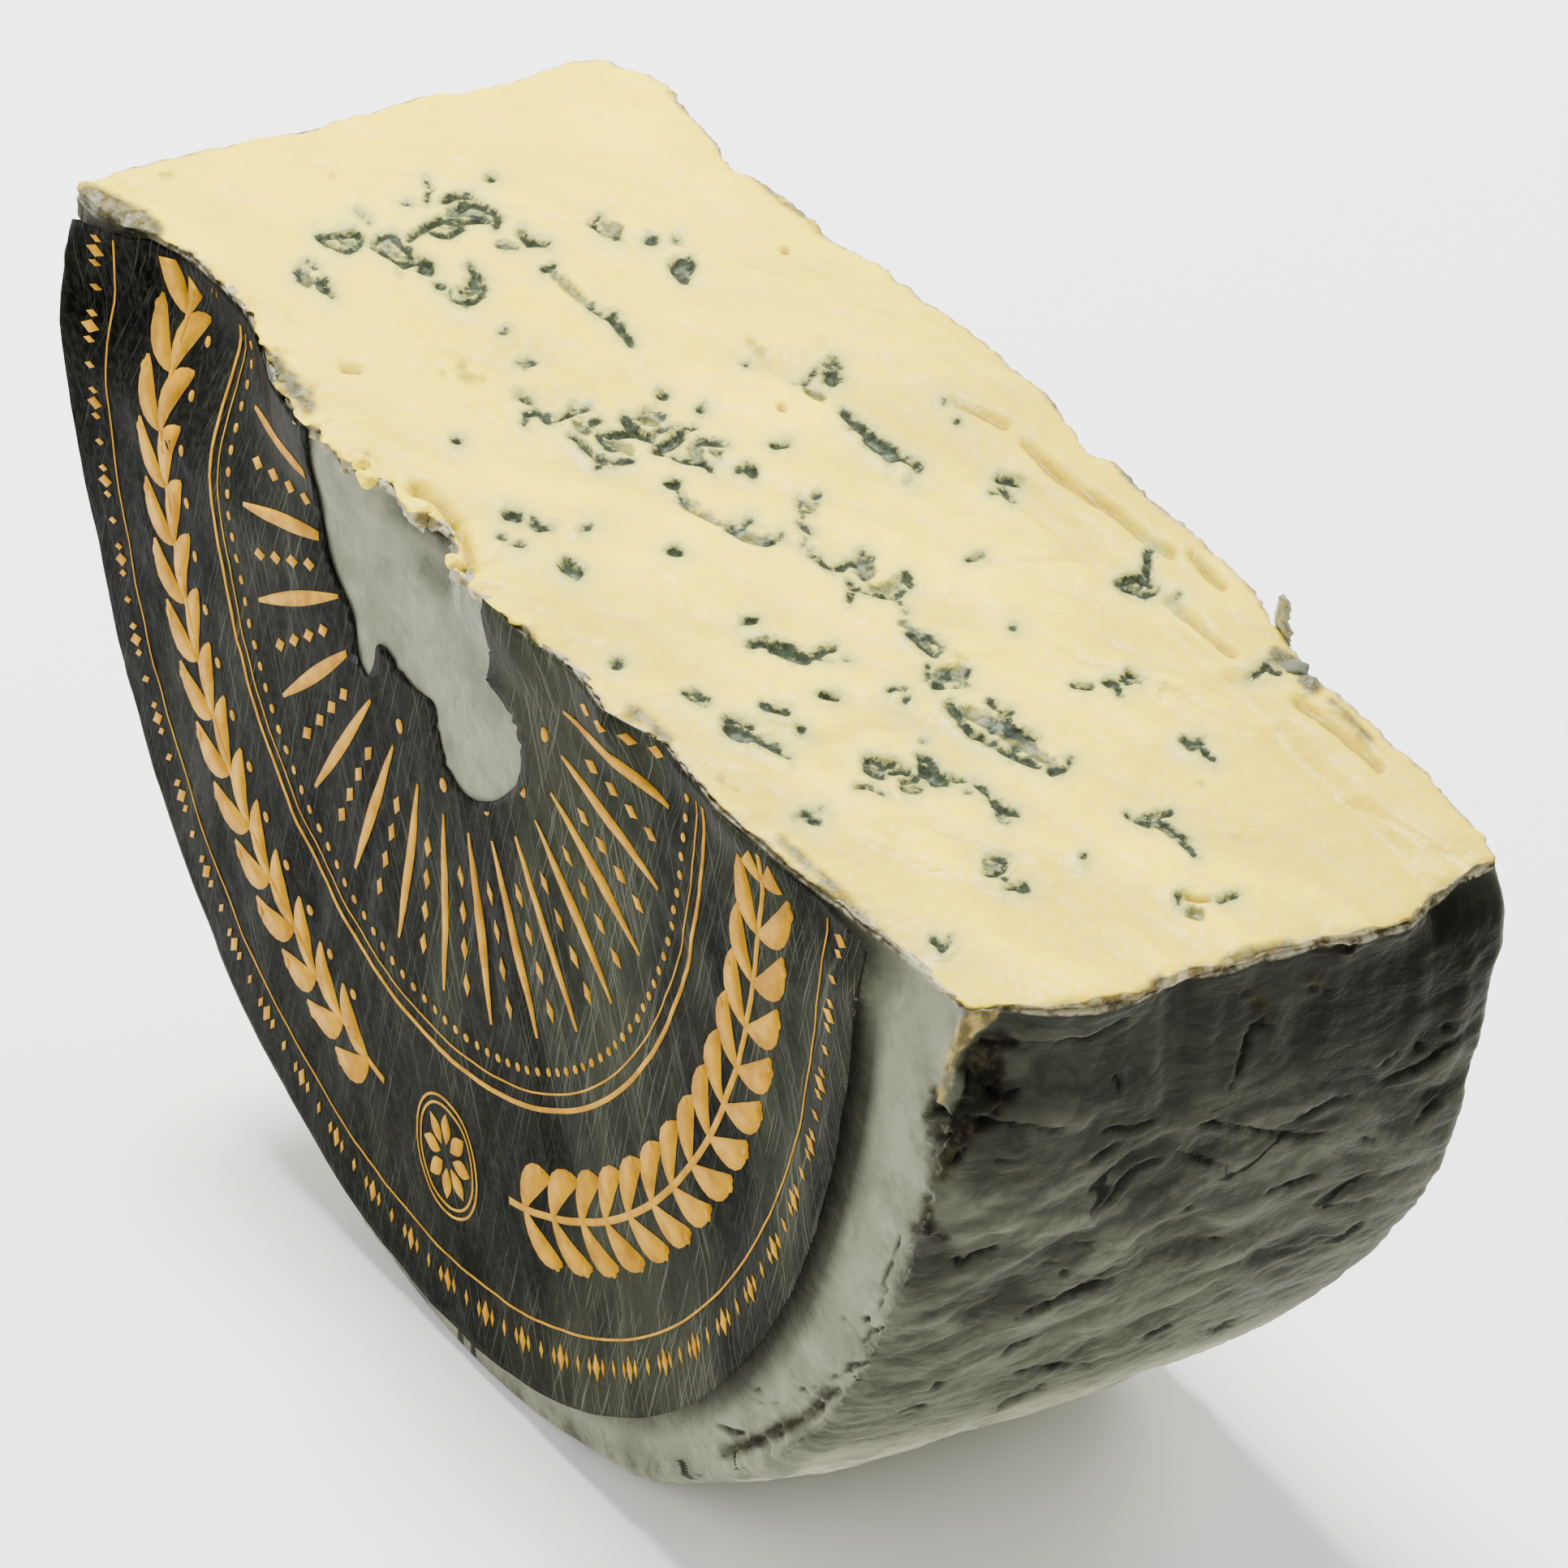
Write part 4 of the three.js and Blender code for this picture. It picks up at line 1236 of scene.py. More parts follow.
def rind_material():
    made, tree, shader = material("rind")
    on_rim = attribute_node(tree, "rim")
    drawn = mapped(tree, "POINT", (1.0, 0.5, 1.0))
    wrinkle = math_node(tree, "MULTIPLY_ADD", noise_node(tree, 160.0, 4.0, 0.6, 1.0, drawn), 2.0, -1.0)
    wrinkle = remap(tree, math_node(tree, "ABSOLUTE", wrinkle), 0.0, 0.16, 1.0, 0.0)
    wrinkle = math_node(tree, "MULTIPLY", wrinkle, on_rim)

    dark = mottled(tree, 130.0, 0.3, 0.7, RIND_DARK, RIND_MID)
    dark = blend(tree, thin(tree, patches(tree, 26.0, 0.42, 0.7), 0.45), dark, RIND_LIGHT)
    # Painted light from the floor, pale near the bottom of the round side
    dark = blend(tree, attribute_node(tree, "low"), dark, RIND_FLOOR_LIGHT)
    # Painted highlight on the raised wrinkles and pleats of the round side
    dark = blend(tree, attribute_node(tree, "ridge_highlight"), dark, RIND_HIGHLIGHT)
    light = mottled(tree, 130.0, 0.3, 0.75, RING_LIGHT, RING_MID)
    light = blend(tree, thin(tree, patches(tree, 320.0, 0.52, 0.7), 0.35), light, RIND_LIGHT)
    ring = ragged(tree, "ring", RIND_TEAR, 3.0)
    dark = lay_over(tree, dark, RIND_SHOULDER, ring, 1.0, 8.0, 0.75)
    colour = lay_over(tree, dark, light, ring, 1.0, 2.0, 1.0)
    # Painted shade: the dips and hollows of the rind, and the shadow of the label's lifted edge
    colour = blend(tree, attribute_node(tree, "dip_and_shade"), colour, RIND_SHADE)

    # Brown stains, painted shade in the wrinkles, cracks, the pale lip at the cut and the smear of paste
    brown_shade = mottled(tree, 420.0, 0.46, 0.64, BROWN_DARK, BROWN_LIGHT)
    brown = ragged(tree, "brown", RIND_TEAR, 2.0)
    colour = lay_over(tree, colour, brown_shade, brown, -0.4, 0.8, 0.92)
    # Painted shade in the fine wrinkles
    colour = blend(tree, thin(tree, wrinkle, 0.3), colour, RIND_SHADE)
    crack = ragged(tree, "crack", RIND_TEAR, 0.5)
    colour = lay_over(tree, colour, CRACK, crack, -0.1, 0.45, 0.92)
    lip = ragged(tree, "below", RIND_TEAR, 1.6)
    colour = lay_over(tree, colour, lip_shade(tree), lip, 0.0, 0.8, 0.85)
    dragged = ragged(tree, "dragged", RIND_TEAR, 2.2)
    smear = mottled(tree, 330.0, 0.4, 0.62, SMEAR_PALE, SMEAR_DARK)
    colour = lay_over(tree, colour, smear, dragged, -0.5, 0.5, 0.95)
    feed(tree, shader.inputs["Base Color"], colour)

    rough = remap(tree, patches(tree, 130.0, 0.3, 0.7), 0.0, 1.0, 0.68, 0.9)
    feed(tree, shader.inputs["Roughness"], rough)
    shader.inputs["Specular IOR Level"].default_value = 0.06
    shader.inputs["Sheen Weight"].default_value = 0.2
    shader.inputs["Sheen Roughness"].default_value = 0.4
    shader.inputs["Sheen Tint"].default_value = linear(*RIND_SHEEN)
    relief = add(tree, "ShaderNodeBump", Strength=0.18, Distance=0.0003, invert=True)
    feed(tree, relief.inputs["Height"], wrinkle)
    layers = ((900.0, 0.35, 0.0003), (330.0, 0.5, 0.0006), (130.0, 0.5, 0.0008))
    feed(tree, relief.inputs["Normal"], grain(tree, layers))
    feed(tree, shader.inputs["Normal"], relief.outputs["Normal"])
    return made


def film_material():
    made, tree, shader = material("label film")
    one = noise_node(tree, 1.0, 1.0, 0.5, 0.0, mapped(tree, "TEXTURE", (0.00022, 0.002, 0.012), 0.3))
    two = noise_node(tree, 1.0, 1.0, 0.5, 0.0, mapped(tree, "TEXTURE", (0.00022, 0.002, 0.014), -0.42))
    sheen = attribute_node(tree, "sheen")
    scratch = remap(tree, math_node(tree, "MAXIMUM", one, two), 0.62, 0.7)
    scratch = math_node(tree, "MULTIPLY", scratch, math_node(tree, "MULTIPLY_ADD", sheen, 0.7, 0.2))
    colour = mottled(tree, 30.0, 0.35, 0.7, FILM_DARK, FILM_MID)
    # Painted sheen: lighter towards the near end and on the film's folds
    colour = blend(tree, sheen, colour, FILM_SHEEN)
    colour = blend(tree, thin(tree, patches(tree, 1100.0, 0.4, 0.7), 0.08), colour, FILM_LIGHT)
    colour = blend(tree, scratch, colour, FILM_LIGHT)
    feed(tree, shader.inputs["Base Color"], colour)
    feed(tree, shader.inputs["Roughness"], remap(tree, sheen, 0.0, 1.0, 0.32, 0.42))
    shader.inputs["Specular IOR Level"].default_value = 0.006
    feed(tree, shader.inputs["Normal"], grain(tree, ((1100.0, 0.2, 0.0001), (90.0, 0.25, 0.0008))))
    return made


def gold_material():
    made, tree, shader = material("gold print")
    feed(tree, shader.inputs["Base Color"], mottled(tree, 260.0, 0.35, 0.7, GOLD_LIGHT, GOLD_DARK))
    rough = remap(tree, patches(tree, 260.0, 0.3, 0.7), 0.0, 1.0, 0.36, 0.52)
    feed(tree, shader.inputs["Roughness"], rough)
    shader.inputs["Specular IOR Level"].default_value = 0.04
    feed(tree, shader.inputs["Normal"], grain(tree, ((90.0, 0.25, 0.0008),)))
    return made


# The paste

# Relief of the cut: heights and depths, how waves and creases slant, and how long they are drawn
WAVE_HEIGHT = 0.6
WAVE_SLANT = 24.0
WAVE_DRAWN = (2.8, 0.8, 1.0)
CREASE_DEPTH = 0.3
CREASE_DRAWN = (2.6, 0.8, 1.0)
POCKET_DEPTH = 0.8
POCKET_CORE = 0.35
POCKET_RIM = 0.12
FLOOR_DEPTH = 0.55
SPECK_DEPTH = 1.0
FOLD_DEPTH = 0.8
PLEAT_HEIGHT = 0.35

# The ragged rim of the cut: how wide it is, how far round the turn it reaches, and the torn stretch
FRAY_WIDTH = 1.6
FRAY_TURN = 0.019
TORN_FROM = (-75.0, -60.0)
TORN_TO = (10.0, 24.0)


def ragged_rim(points, u, s, turn, inward, torn):
    """How far the rim hangs over the rind, or stops short of it, along X and along Y."""
    tear = 0.8 * noise_at(points, 3.4, 3.0, 3) + 0.7 * noise_at(points, 8.0, 7.0, 2)
    frayed = 0.2 + 0.3 * tear + 0.25 * noise_at(points, 1.3, 5.0, 3)
    open_bay = BAY_DEPTH * bell(points[:, 0] - BAY_AT, BAY_WIDTH)
    hang = torn * (np.clip(0.5 + 1.1 * tear, -0.6, 1.3) - open_bay) + (1.0 - torn) * frayed
    hang = hang * bell(inward, FRAY_WIDTH) * (turn < FRAY_TURN)
    side_x = np.sign(u) * bell((1.0 - np.abs(u)) * RADIUS, FRAY_WIDTH)
    side_y = bell((1.0 - s) * THICKNESS, FRAY_WIDTH) - bell(s * THICKNESS, FRAY_WIDTH)
    length = np.maximum(np.hypot(side_x, side_y), 1e-6)
    return hang * side_x / length, hang * side_y / length


def cut_waves(flat):
    """Long waves, and the creases between them, that slant across the cut."""
    bent = turned(flat, WAVE_SLANT)
    bent[:, 1] += 4.0 * noise_at(flat, 30.0, 3.0)
    waves = noise_at(bent, 8.0, 4.0, 3, WAVE_DRAWN)
    creases = smooth(ridge_at(bent, 16.0, 12.0, CREASE_DRAWN), 0.86, 1.0)
    return waves, creases * smooth(noise_at(flat, 20.0, 5.0), 0.0, 0.3)


def cut_relief(points, flat, near, from_front, inward, torn, waves, creases):
    """Height of the small relief over the cut's own form."""
    relief = 0.3 * noise_at(flat, 17.0, 1.0, 3) + 0.1 * noise_at(flat, 3.2, 2.0, 3)
    relief += WAVE_HEIGHT * waves - CREASE_DEPTH * creases + 0.08 * noise_at(flat, 1.6, 8.0, 2)
    crumbled = 0.3 + (0.35 + 0.45 * torn) * noise_at(flat, 3.4, 6.0, 3)
    relief -= bell(from_front, 4.0) * crumbled + 0.4 * bell(inward, 0.9)
    relief -= POCKET_DEPTH * fade(near["mould"], -0.6, 0.2)
    relief += POCKET_CORE * fade(near["mould"], -1.1, -0.5)
    relief += POCKET_RIM * bell(near["mould"] - 0.5, 0.4)
    relief -= FLOOR_DEPTH * fade(near["floor"], -0.5, 0.3) * smooth(near["mould"], -0.4, 0.3)
    relief -= SPECK_DEPTH * fade(near["orange"], -0.4, 0.2)
    relief -= (FOLD_DEPTH + 0.5 * noise_at(flat, 6.0, 4.0, 2)) * beside(near["fold"], 0.5)
    relief += PLEAT_HEIGHT * beside(near["pleat"], 0.9)
    tufts = 0.15 + 0.55 * noise_at(points, 2.4, 9.0, 3)
    return relief + fade(near["tuft"], -1.0, 0.8) * tufts


def paste_tan_and_shade(points, flat, waves, creases):
    """How tan the paste is, from 0 to 1: most along the band and at the near end, with painted shade that
    makes it more tan in the hollows between the waves and in the creases, and less on the crests.
    """
    x, y = points[:, 0], points[:, 1]
    tan_and_hollow_shade = 0.7 * smooth(y, 2.0, 30.0) * smooth(x, -80.0, 0.0) + 0.4 * fade(y, -32.0, -22.0)
    tan_and_hollow_shade += 0.2 * smooth(x, -50.0, 10.0) + 0.4 * smooth(x, 30.0, 100.0)
    return np.clip(tan_and_hollow_shade + 0.3 * noise_at(flat, 22.0, 9.0) - 0.7 * waves + 0.5 * creases, 0.0, 1.0)


def make_paste(finish):
    bm = grid_with_layers(*PASTE_GRID)
    rim = [e for e in bm.edges if e.is_boundary]
    for depth, turns in PASTE_LIP:
        rim = pull_down(bm, rim, turns, depth)
    bmesh.ops.contextual_create(bm, geom=rim)
    u, s, turn, inset = (layer_values(bm, name) for name in ("u", "s", "turn", "inset"))
    on_top = turn < ON_TOP
    points = place(u, s, turn, np.where(on_top, PASTE_INSET, inset))

    inward = np.minimum((1.0 - np.abs(u)) * RADIUS, np.minimum(s, 1.0 - s) * THICKNESS)
    torn = (s < 0.5) * smooth(points[:, 0], *TORN_FROM) * fade(points[:, 0], *TORN_TO)
    over_x, over_y = ragged_rim(points, u, s, turn, inward, torn)
    points[:, 0] += over_x
    points[:, 1] += over_y

    flat = flat_map(points[:, 0], points[:, 1])
    waves, creases = cut_waves(flat)
    pixels = to_photo(points)
    near = {name: distance_to(strokes, pixels) for name, strokes in CUT_MARKS.items()}
    relief = cut_relief(points, flat, near, s * THICKNESS, inward, torn, waves, creases)
    points[:, 2] += relief * on_top
    move_to(bm, points)
    face_out(bm)

    obj = piece("cheese_paste", bm, [finish], "cheese")
    for name in ("mould", "floor", "stain", "orange", "tuft"):
        set_values(obj, name, near[name])
    set_values(obj, "fold", 0.95 * beside(near["fold"], 0.4))
    at_tear = bell(points[:, 0] - 98.0, 3.0) * bell(points[:, 1] + 31.0, 3.5)
    set_values(obj, "edge", inward - 2.0 * (turn > ON_TOP) + 0.45 * torn + 4.0 * at_tear)
    set_values(obj, "tan_and_hollow_shade", paste_tan_and_shade(points, flat, waves, creases))


# The rind

# Its relief: heights and depths, and how long its wrinkles are drawn
STREAK_HEIGHT = 0.32
STREAK_DRAWN = (1.0, 4.0, 1.0)
SKIN_HEIGHT = 0.26
SKIN_DRAWN = (1.0, 2.2, 1.0)
FIBRE_HEIGHT = 0.12
FIBRE_DRAWN = (1.0, 3.0, 1.0)
WRINKLE_DEPTH = 0.35
UPRIGHT_HEIGHT = 0.22
UPRIGHT_DRAWN = (9.0, 1.0, 1.0)
CRACK_DEPTH = 0.6
CRACK_LIP = 0.18
DIP_DEPTH = 0.6
RIDGE_HEIGHT = 0.35
SMEAR_HEIGHT = 0.5
LIP_DROP = 0.95


def rind_shell():
    """The round side and both faces, pulled down from the rim of the cut, with a lining under them."""
    bm = grid_with_layers(*RIND_GRID)
    inner = [v for v in bm.verts if not v.is_boundary]
    bmesh.ops.delete(bm, geom=inner, context="VERTS")
    u_layer = bm.verts.layers.float["u"]
    for vertex in bm.verts:
        even = vertex[u_layer]
        vertex[u_layer] = 1.5 * even - 0.5 * even ** 3
    lip = list(bm.edges)
    pull_down(bm, lip, [QUARTER * k / RIND_STEPS for k in range(1, RIND_STEPS + 1)], 0.0)
    pull_down(bm, lip, RIND_LINING, RIND)
    u, s, turn, inset = (layer_values(bm, name) for name in ("u", "s", "turn", "inset"))
    move_to(bm, place(u, s, turn, inset))
    bmesh.ops.remove_doubles(bm, verts=bm.verts, dist=0.02)
    bmesh.ops.recalc_face_normals(bm, faces=bm.faces)
    return bm


def past_label(points):
    """How far a point lies outside the label's edge."""
    return np.hypot(points[:, 0] - LABEL_X, points[:, 2] - LABEL_Z) - LABEL_RADIUS


def rind_places(points, normals, from_front):
    """What the relief and the shades of the rind are worked out from, at each of its points."""
    at = SimpleNamespace(points=points, from_front=from_front)
    height = CENTRE - points[:, 2]
    at.radius = np.hypot(points[:, 0], height)
    at.on_rim = smooth(at.radius, RADIUS * 0.93, RADIUS * 0.985)
    at.below = cut_height(points[:, 0], points[:, 1]) - points[:, 2]
    at.grown = 0.25 + 0.75 * smooth(at.below, 4.0, 26.0)
    at.unrolled = flat_map(np.arctan2(height, points[:, 0]) * RADIUS, points[:, 1])
    drift = 5.0 * noise_at(at.unrolled, 26.0, 2.0, 2)
    bent = at.unrolled + flat_map(drift, drift * 0.4)
    at.streaks = 0.8 * noise_at(turned(bent, 22.0), 4.6, 1.0, 3, STREAK_DRAWN)
    at.streaks += 0.6 * noise_at(turned(bent, -14.0), 5.6, 11.0, 2, STREAK_DRAWN)
    at.fibres = noise_at(turned(bent, 12.0), 2.0, 5.0, 2, FIBRE_DRAWN)
    at.skin = noise_at(bent, 3.0, 9.0, 3, SKIN_DRAWN)
    creases = smooth(ridge_at(turned(bent, 16.0), 8.5, 6.0, FIBRE_DRAWN), 0.84, 1.0)
    at.creases = creases * smooth(noise_at(at.unrolled, 15.0, 8.0), -0.05, 0.3)
    at.form = at.on_rim * at.grown * (0.5 * at.streaks + 0.6 * at.skin)

    pixels = to_photo(points)
    seen = normals @ view_axes()[2] > 0.02
    at.near = {}
    for name, strokes in RIND_MARKS.items():
        away = distance_to(strokes, pixels, name == "crack")
        at.near[name] = np.where(seen, away, FAR_OFF)
    at.near["crack"] += 0.12 + 0.25 * noise_at(points, 1.1, 2.0, 2)
    return at


def rind_relief(at):
    points, near = at.points, at.near
    relief = 0.7 * noise_at(points, 30.0, 1.0) + at.on_rim * 0.5 * noise_at(points, 12.0, 4.0, 2)
    relief = relief * smooth(at.below, 1.0, 12.0)
    wrinkles = STREAK_HEIGHT * at.streaks + SKIN_HEIGHT * at.skin
    wrinkles += FIBRE_HEIGHT * at.fibres - WRINKLE_DEPTH * at.creases
    upright = UPRIGHT_HEIGHT * noise_at(at.unrolled, 2.2, 4.0, 2, UPRIGHT_DRAWN)
    relief += at.on_rim * (at.grown * wrinkles + upright * fade(at.below, 8.0, 24.0))
    relief += at.on_rim * 0.12 * noise_at(points, 1.5, 3.0, 2)

    on_face = 1.0 - at.on_rim
    bare = 0.45 * noise_at(points, 13.0, 5.0, 2) + 0.3 * noise_at(points, 4.5, 6.0, 3)
    relief += on_face * 0.12 * noise_at(points, 3.0, 8.0, 3)
    relief += on_face * smooth(points[:, 1], 0.0, 20.0) * bare

    relief -= CRACK_DEPTH * fade(near["crack"], -0.2, 0.35)
    relief += CRACK_LIP * bell(near["crack"] - 0.55, 0.35)
    relief -= DIP_DEPTH * beside(near["dip_and_shade"], 1.3)
    relief += RIDGE_HEIGHT * beside(near["ridge"], 0.7)
    relief += fade(near["brown"], -0.5, 1.2) * (1.3 * noise_at(points, 2.0, 4.0, 3) - 0.4)
    relief += SMEAR_HEIGHT * fade(near["dragged"], -0.4, 0.5)

    # Low under the film, and none where the wheel rests
    under_label = (points[:, 1] < -20.0) & (past_label(points) < 0.0)
    relief = np.where(under_label, np.clip(relief, -1.0, 0.1), relief)
    off_rest = smooth(np.abs(points[:, 0]), 18.0, 34.0) + (points[:, 2] > FLOOR + 12.0)
    return relief * np.clip(off_rest, 0.0, 1.0)


def past_ring(at, points):
    """How far a point lies past the pale ring round each face, and past the pale skin at the far corner."""
    on_face = -0.6 * np.maximum(FRONT_FLAT - at.radius, 0.0)
    ring = np.where(at.from_front > 0.0, at.from_front, on_face) + 1.0 + 1.6 * fade(at.below, 0.0, 90.0)
    ring = np.minimum(ring, 3.0 * (THICKNESS - at.from_front) + 1.0)
    far_skin = np.maximum(at.below - 6.0, np.maximum(points[:, 0] + 86.0, at.from_front - 5.0))
    return np.minimum(ring, far_skin)


def darkened(at, points):
    """How dark the rind is, from 0 to 1: painted shade in the dips and in the hollows of its relief, darker
    under the rim of the cut and towards the back face at the near end, and a painted shadow of the label's
    lifted edge on the ring beside it.
    """
    # A painted shadow that the label's lifted edge casts on the ring
    shadow = 0.85 * fade(past_label(points), 0.4, 3.4) * smooth(points[:, 0], 15.0, 60.0)
    shadow = shadow * (points[:, 1] < FRONT_Y + 3.0) * (0.3 + 0.7 * smooth(at.below, 3.0, 16.0))
    # Painted shade in the traced dips and in the hollows of the relief
    dip_and_shade = np.maximum(0.6 * beside(at.near["dip_and_shade"], 1.5), 0.5 * smooth(-at.form, 0.05, 0.6))
    under_rim = 0.5 * at.on_rim * smooth(at.from_front, 1.0, 4.0) * fade(at.below, 10.0, 32.0)
    near_back = smooth(points[:, 1], -8.0, 28.0) * smooth(points[:, 0], -20.0, 60.0)
    dip_and_shade = np.maximum(dip_and_shade, under_rim) + 0.5 * at.on_rim * near_back * fade(at.below, 30.0, 64.0)
    return np.maximum(dip_and_shade, shadow)


def crack_distance(at):
    """The traced cracks, and the deepest creases of the round side as cracks of their own."""
    crack = at.near["crack"]
    deep = np.where(at.creases * at.grown > 0.35, 0.25 - 0.45 * at.creases, FAR_OFF)
    return np.where(at.on_rim > 0.5, np.minimum(crack, deep), crack)


def make_rind(finish):
    bm = rind_shell()
    s, inset = (layer_values(bm, name) for name in ("s", "inset"))
    normals = normals_of(bm)
    at = rind_places(coordinates(bm), normals, THICKNESS * s)
    outer = inset < 0.01
    points = at.points + normals * (rind_relief(at) * outer)[:, None]
    points[:, 2] -= fade(at.below, 0.0, 3.0) * (LIP_DROP + 0.3 * noise_at(points, 3.0, 5.0, 2))
    points[:, 2] = np.maximum(points[:, 2], FLOOR)
    move_to(bm, points)

    obj = piece("cheese_rind", bm, [finish], "cheese")
    # A painted highlight where the relief stands high, and on the traced pleats
    raised_highlight = 0.5 * smooth(at.form, 0.02, 0.6) + 0.25 * beside(at.near["ridge"], 0.6)
    # Painted light thrown up from the floor: a little paler lower down, much paler near the bottom of the
    # round side
    low = 0.05 * smooth(-points[:, 2], 20.0, 75.0) + 0.8 * smooth(-points[:, 2], 64.0, 83.0)
    set_values(obj, "below", np.maximum(at.below, 0.0))
    set_values(obj, "ring", past_ring(at, points))
    set_values(obj, "rim", at.on_rim)
    set_values(obj, "crack", crack_distance(at))
    set_values(obj, "brown", at.near["brown"])
    set_values(obj, "dragged", at.near["dragged"])
    set_values(obj, "dip_and_shade", darkened(at, points))
    set_values(obj, "ridge_highlight", np.clip(raised_highlight, 0.0, 0.8))
    set_values(obj, "low", low * at.on_rim)


# Bits of paste and rind that stand on the rims of the cut

def same_values(obj, names, value):
    for name in names:
        set_values(obj, name, [value] * len(obj.data.vertices))


def lump(bm, at, size, seed, finish):
    """A rough lump with its middle at a point, and three sizes in millimetres."""
    made = bmesh.ops.create_icosphere(bm, subdivisions=3, radius=1.0)
    for vertex in made["verts"]:
        rough = 1.0 + 0.45 * noise.noise(vertex.co * 1.3 + Vector((seed * 5.3, 0.0, 0.0)))
        rough += 0.16 * noise.noise(vertex.co * 3.7 + Vector((0.0, seed * 3.1, 0.0)))
        vertex.co = Vector([at[k] + vertex.co[k] * rough * size[k] for k in range(3)])
    for face in {f for v in made["verts"] for f in v.link_faces}:
        face.material_index = finish


def make_crumbs(finishes):
    bm = bmesh.new()
    for k, (pixel, size, sink, finish) in enumerate(CRUMBS.values()):
        at = on_cut(pixel)
        lump(bm, (at[0], at[1], at[2] - sink), size, k, finish)
    obj = piece("cheese_crumbs", bm, finishes)
    same_values(obj, ("mould", "floor", "stain", "orange", "tuft"), FAR_OFF)
    same_values(obj, ("crack", "brown", "dragged", "below", "ring"), FAR_OFF)
    same_values(obj, ("fold", "dip_and_shade", "ridge_highlight", "rim"), 0.0)
    same_values(obj, ("edge",), 0.8)
    same_values(obj, ("tan_and_hollow_shade",), 0.4)
    # A little of the painted floor light
    same_values(obj, ("low",), 0.12)


def make_flake(finish):
    """The flake of rind that stands up from the back rim."""
    bm = bmesh.new()
    bmesh.ops.create_grid(bm, x_segments=FLAKE_GRID[0], y_segments=FLAKE_GRID[1], size=1.0)
    foot = on_cut(FLAKE_FOOT)
    for vertex in bm.verts:
        across, up = vertex.co.x, (vertex.co.y + 1.0) / 2.0
        torn = noise.noise(Vector((across * 3.0, up * 7.0, 3.0)))
        width = FLAKE_WIDTH / 2 * (1.0 - up) ** 0.4 * (1.0 + 1.7 * torn)
        curl = 0.5 * noise.noise(Vector((across * 1.5, up * 3.0, 7.0)))
        x = foot[0] + across * width + 0.5 * up
        z = foot[2] - FLAKE_ROOT + (FLAKE_HEIGHT + FLAKE_ROOT) * up
        vertex.co = Vector((x, foot[1] + curl - 0.4 * up, z))
    obj = piece("rind_flake", bm, [finish])
    thicken(obj, FLAKE_THICKNESS, 0.0)
    same_values(obj, ("crack", "brown", "dragged", "below", "ring"), FAR_OFF)
    same_values(obj, ("rim", "dip_and_shade", "ridge_highlight"), 0.0)
    # Some of the painted floor light, which lightens the flake
    same_values(obj, ("low",), 0.4)


# The label

def window_depth(x, z):
    """Above 0 inside the window, in about millimetres from its edge."""
    depth = np.full(np.shape(x), -1e6)
    for cx, cz, rx, rz in WINDOW:
        share = np.hypot((x - cx) / rx, (z - cz) / rz)
        depth = np.logaddexp(depth, (1.0 - share) * min(rx, rz) / WINDOW_BLEND)
    return depth * WINDOW_BLEND


def front_cut_height(x):
    """Height of the cut at the labelled face."""
    return cut_height(x, np.full(len(x), FRONT_Y))


def label_y(x, z, out):
    """How far out the film lies, with the lift of its near edge, its wrinkles and its curl at the cut."""
    radius = np.hypot(x, z - CENTRE)
    from_middle = np.hypot(x - LABEL_X, z - LABEL_Z)
    near = smooth(x, -0.25 * RADIUS, 0.5 * RADIUS)
    lift = LABEL_LIFT * near * fade(LABEL_RADIUS - from_middle, 0.0, LABEL_LIFT_WIDTH)
    flat = flat_map(x, z)
    rays = flat_map(np.arctan2(x - LABEL_X, LABEL_Z - z) * 26.0, from_middle * 0.12)
    wrinkles = 0.22 * noise_at(rays, 2.6, 3.0, 2) * smooth(from_middle, 6.0, 40.0)
    wrinkles += 0.3 * noise_at(flat, 20.0, 5.0, 2) + 0.07 * noise_at(flat, 3.0, 6.0, 2)
    curl = LABEL_CURL * smooth(x, -96.0, -84.0) * bell(z - front_cut_height(x), 3.0)
    curl = curl * (1.0 + noise_at(flat, 9.0, 8.0))
    face = front_face(radius) + pressed_in(FRONT_DENTS, x, z) - front_swell(x, z) + front_shift(x, z)
    return face - LABEL_OFF - lift - wrinkles - curl - out


def label_top(x):
    """The film's edge along the cut, lower where it is worn off at the far corner."""
    worn_off = 2.2 * fade(x, -95.0, -82.0) + 1.4 * fade(x, -99.0, -94.5)
    uneven = 0.3 * noise_at(flat_map(x, 0.0 * x), 7.0, 4.0, 3)
    return front_cut_height(x) - LABEL_BELOW - worn_off + uneven


def onto_window(x, z, high):
    """Moves what lies near the window's edge onto it."""
    for _ in range(4):
        depth = window_depth(x, z)
        slope_x = (window_depth(x + SLOPE_STEP, z) - window_depth(x - SLOPE_STEP, z)) / (2 * SLOPE_STEP)
        slope_z = (window_depth(x, z + SLOPE_STEP) - window_depth(x, z - SLOPE_STEP)) / (2 * SLOPE_STEP)
        steep = np.maximum(slope_x ** 2 + slope_z ** 2, 1e-3)
        close = (np.abs(depth) < WINDOW_REACH) & (z < high - 0.2)
        x = x - np.where(close, depth * slope_x / steep, 0.0)
        z = z - np.where(close, depth * slope_z / steep, 0.0)
    return x, z


def cut_off(bm, gone):
    bm.verts.ensure_lookup_table()
    unwanted = [v for v, is_gone in zip(bm.verts, gone) if is_gone]
    bmesh.ops.delete(bm, geom=unwanted, context="VERTS")


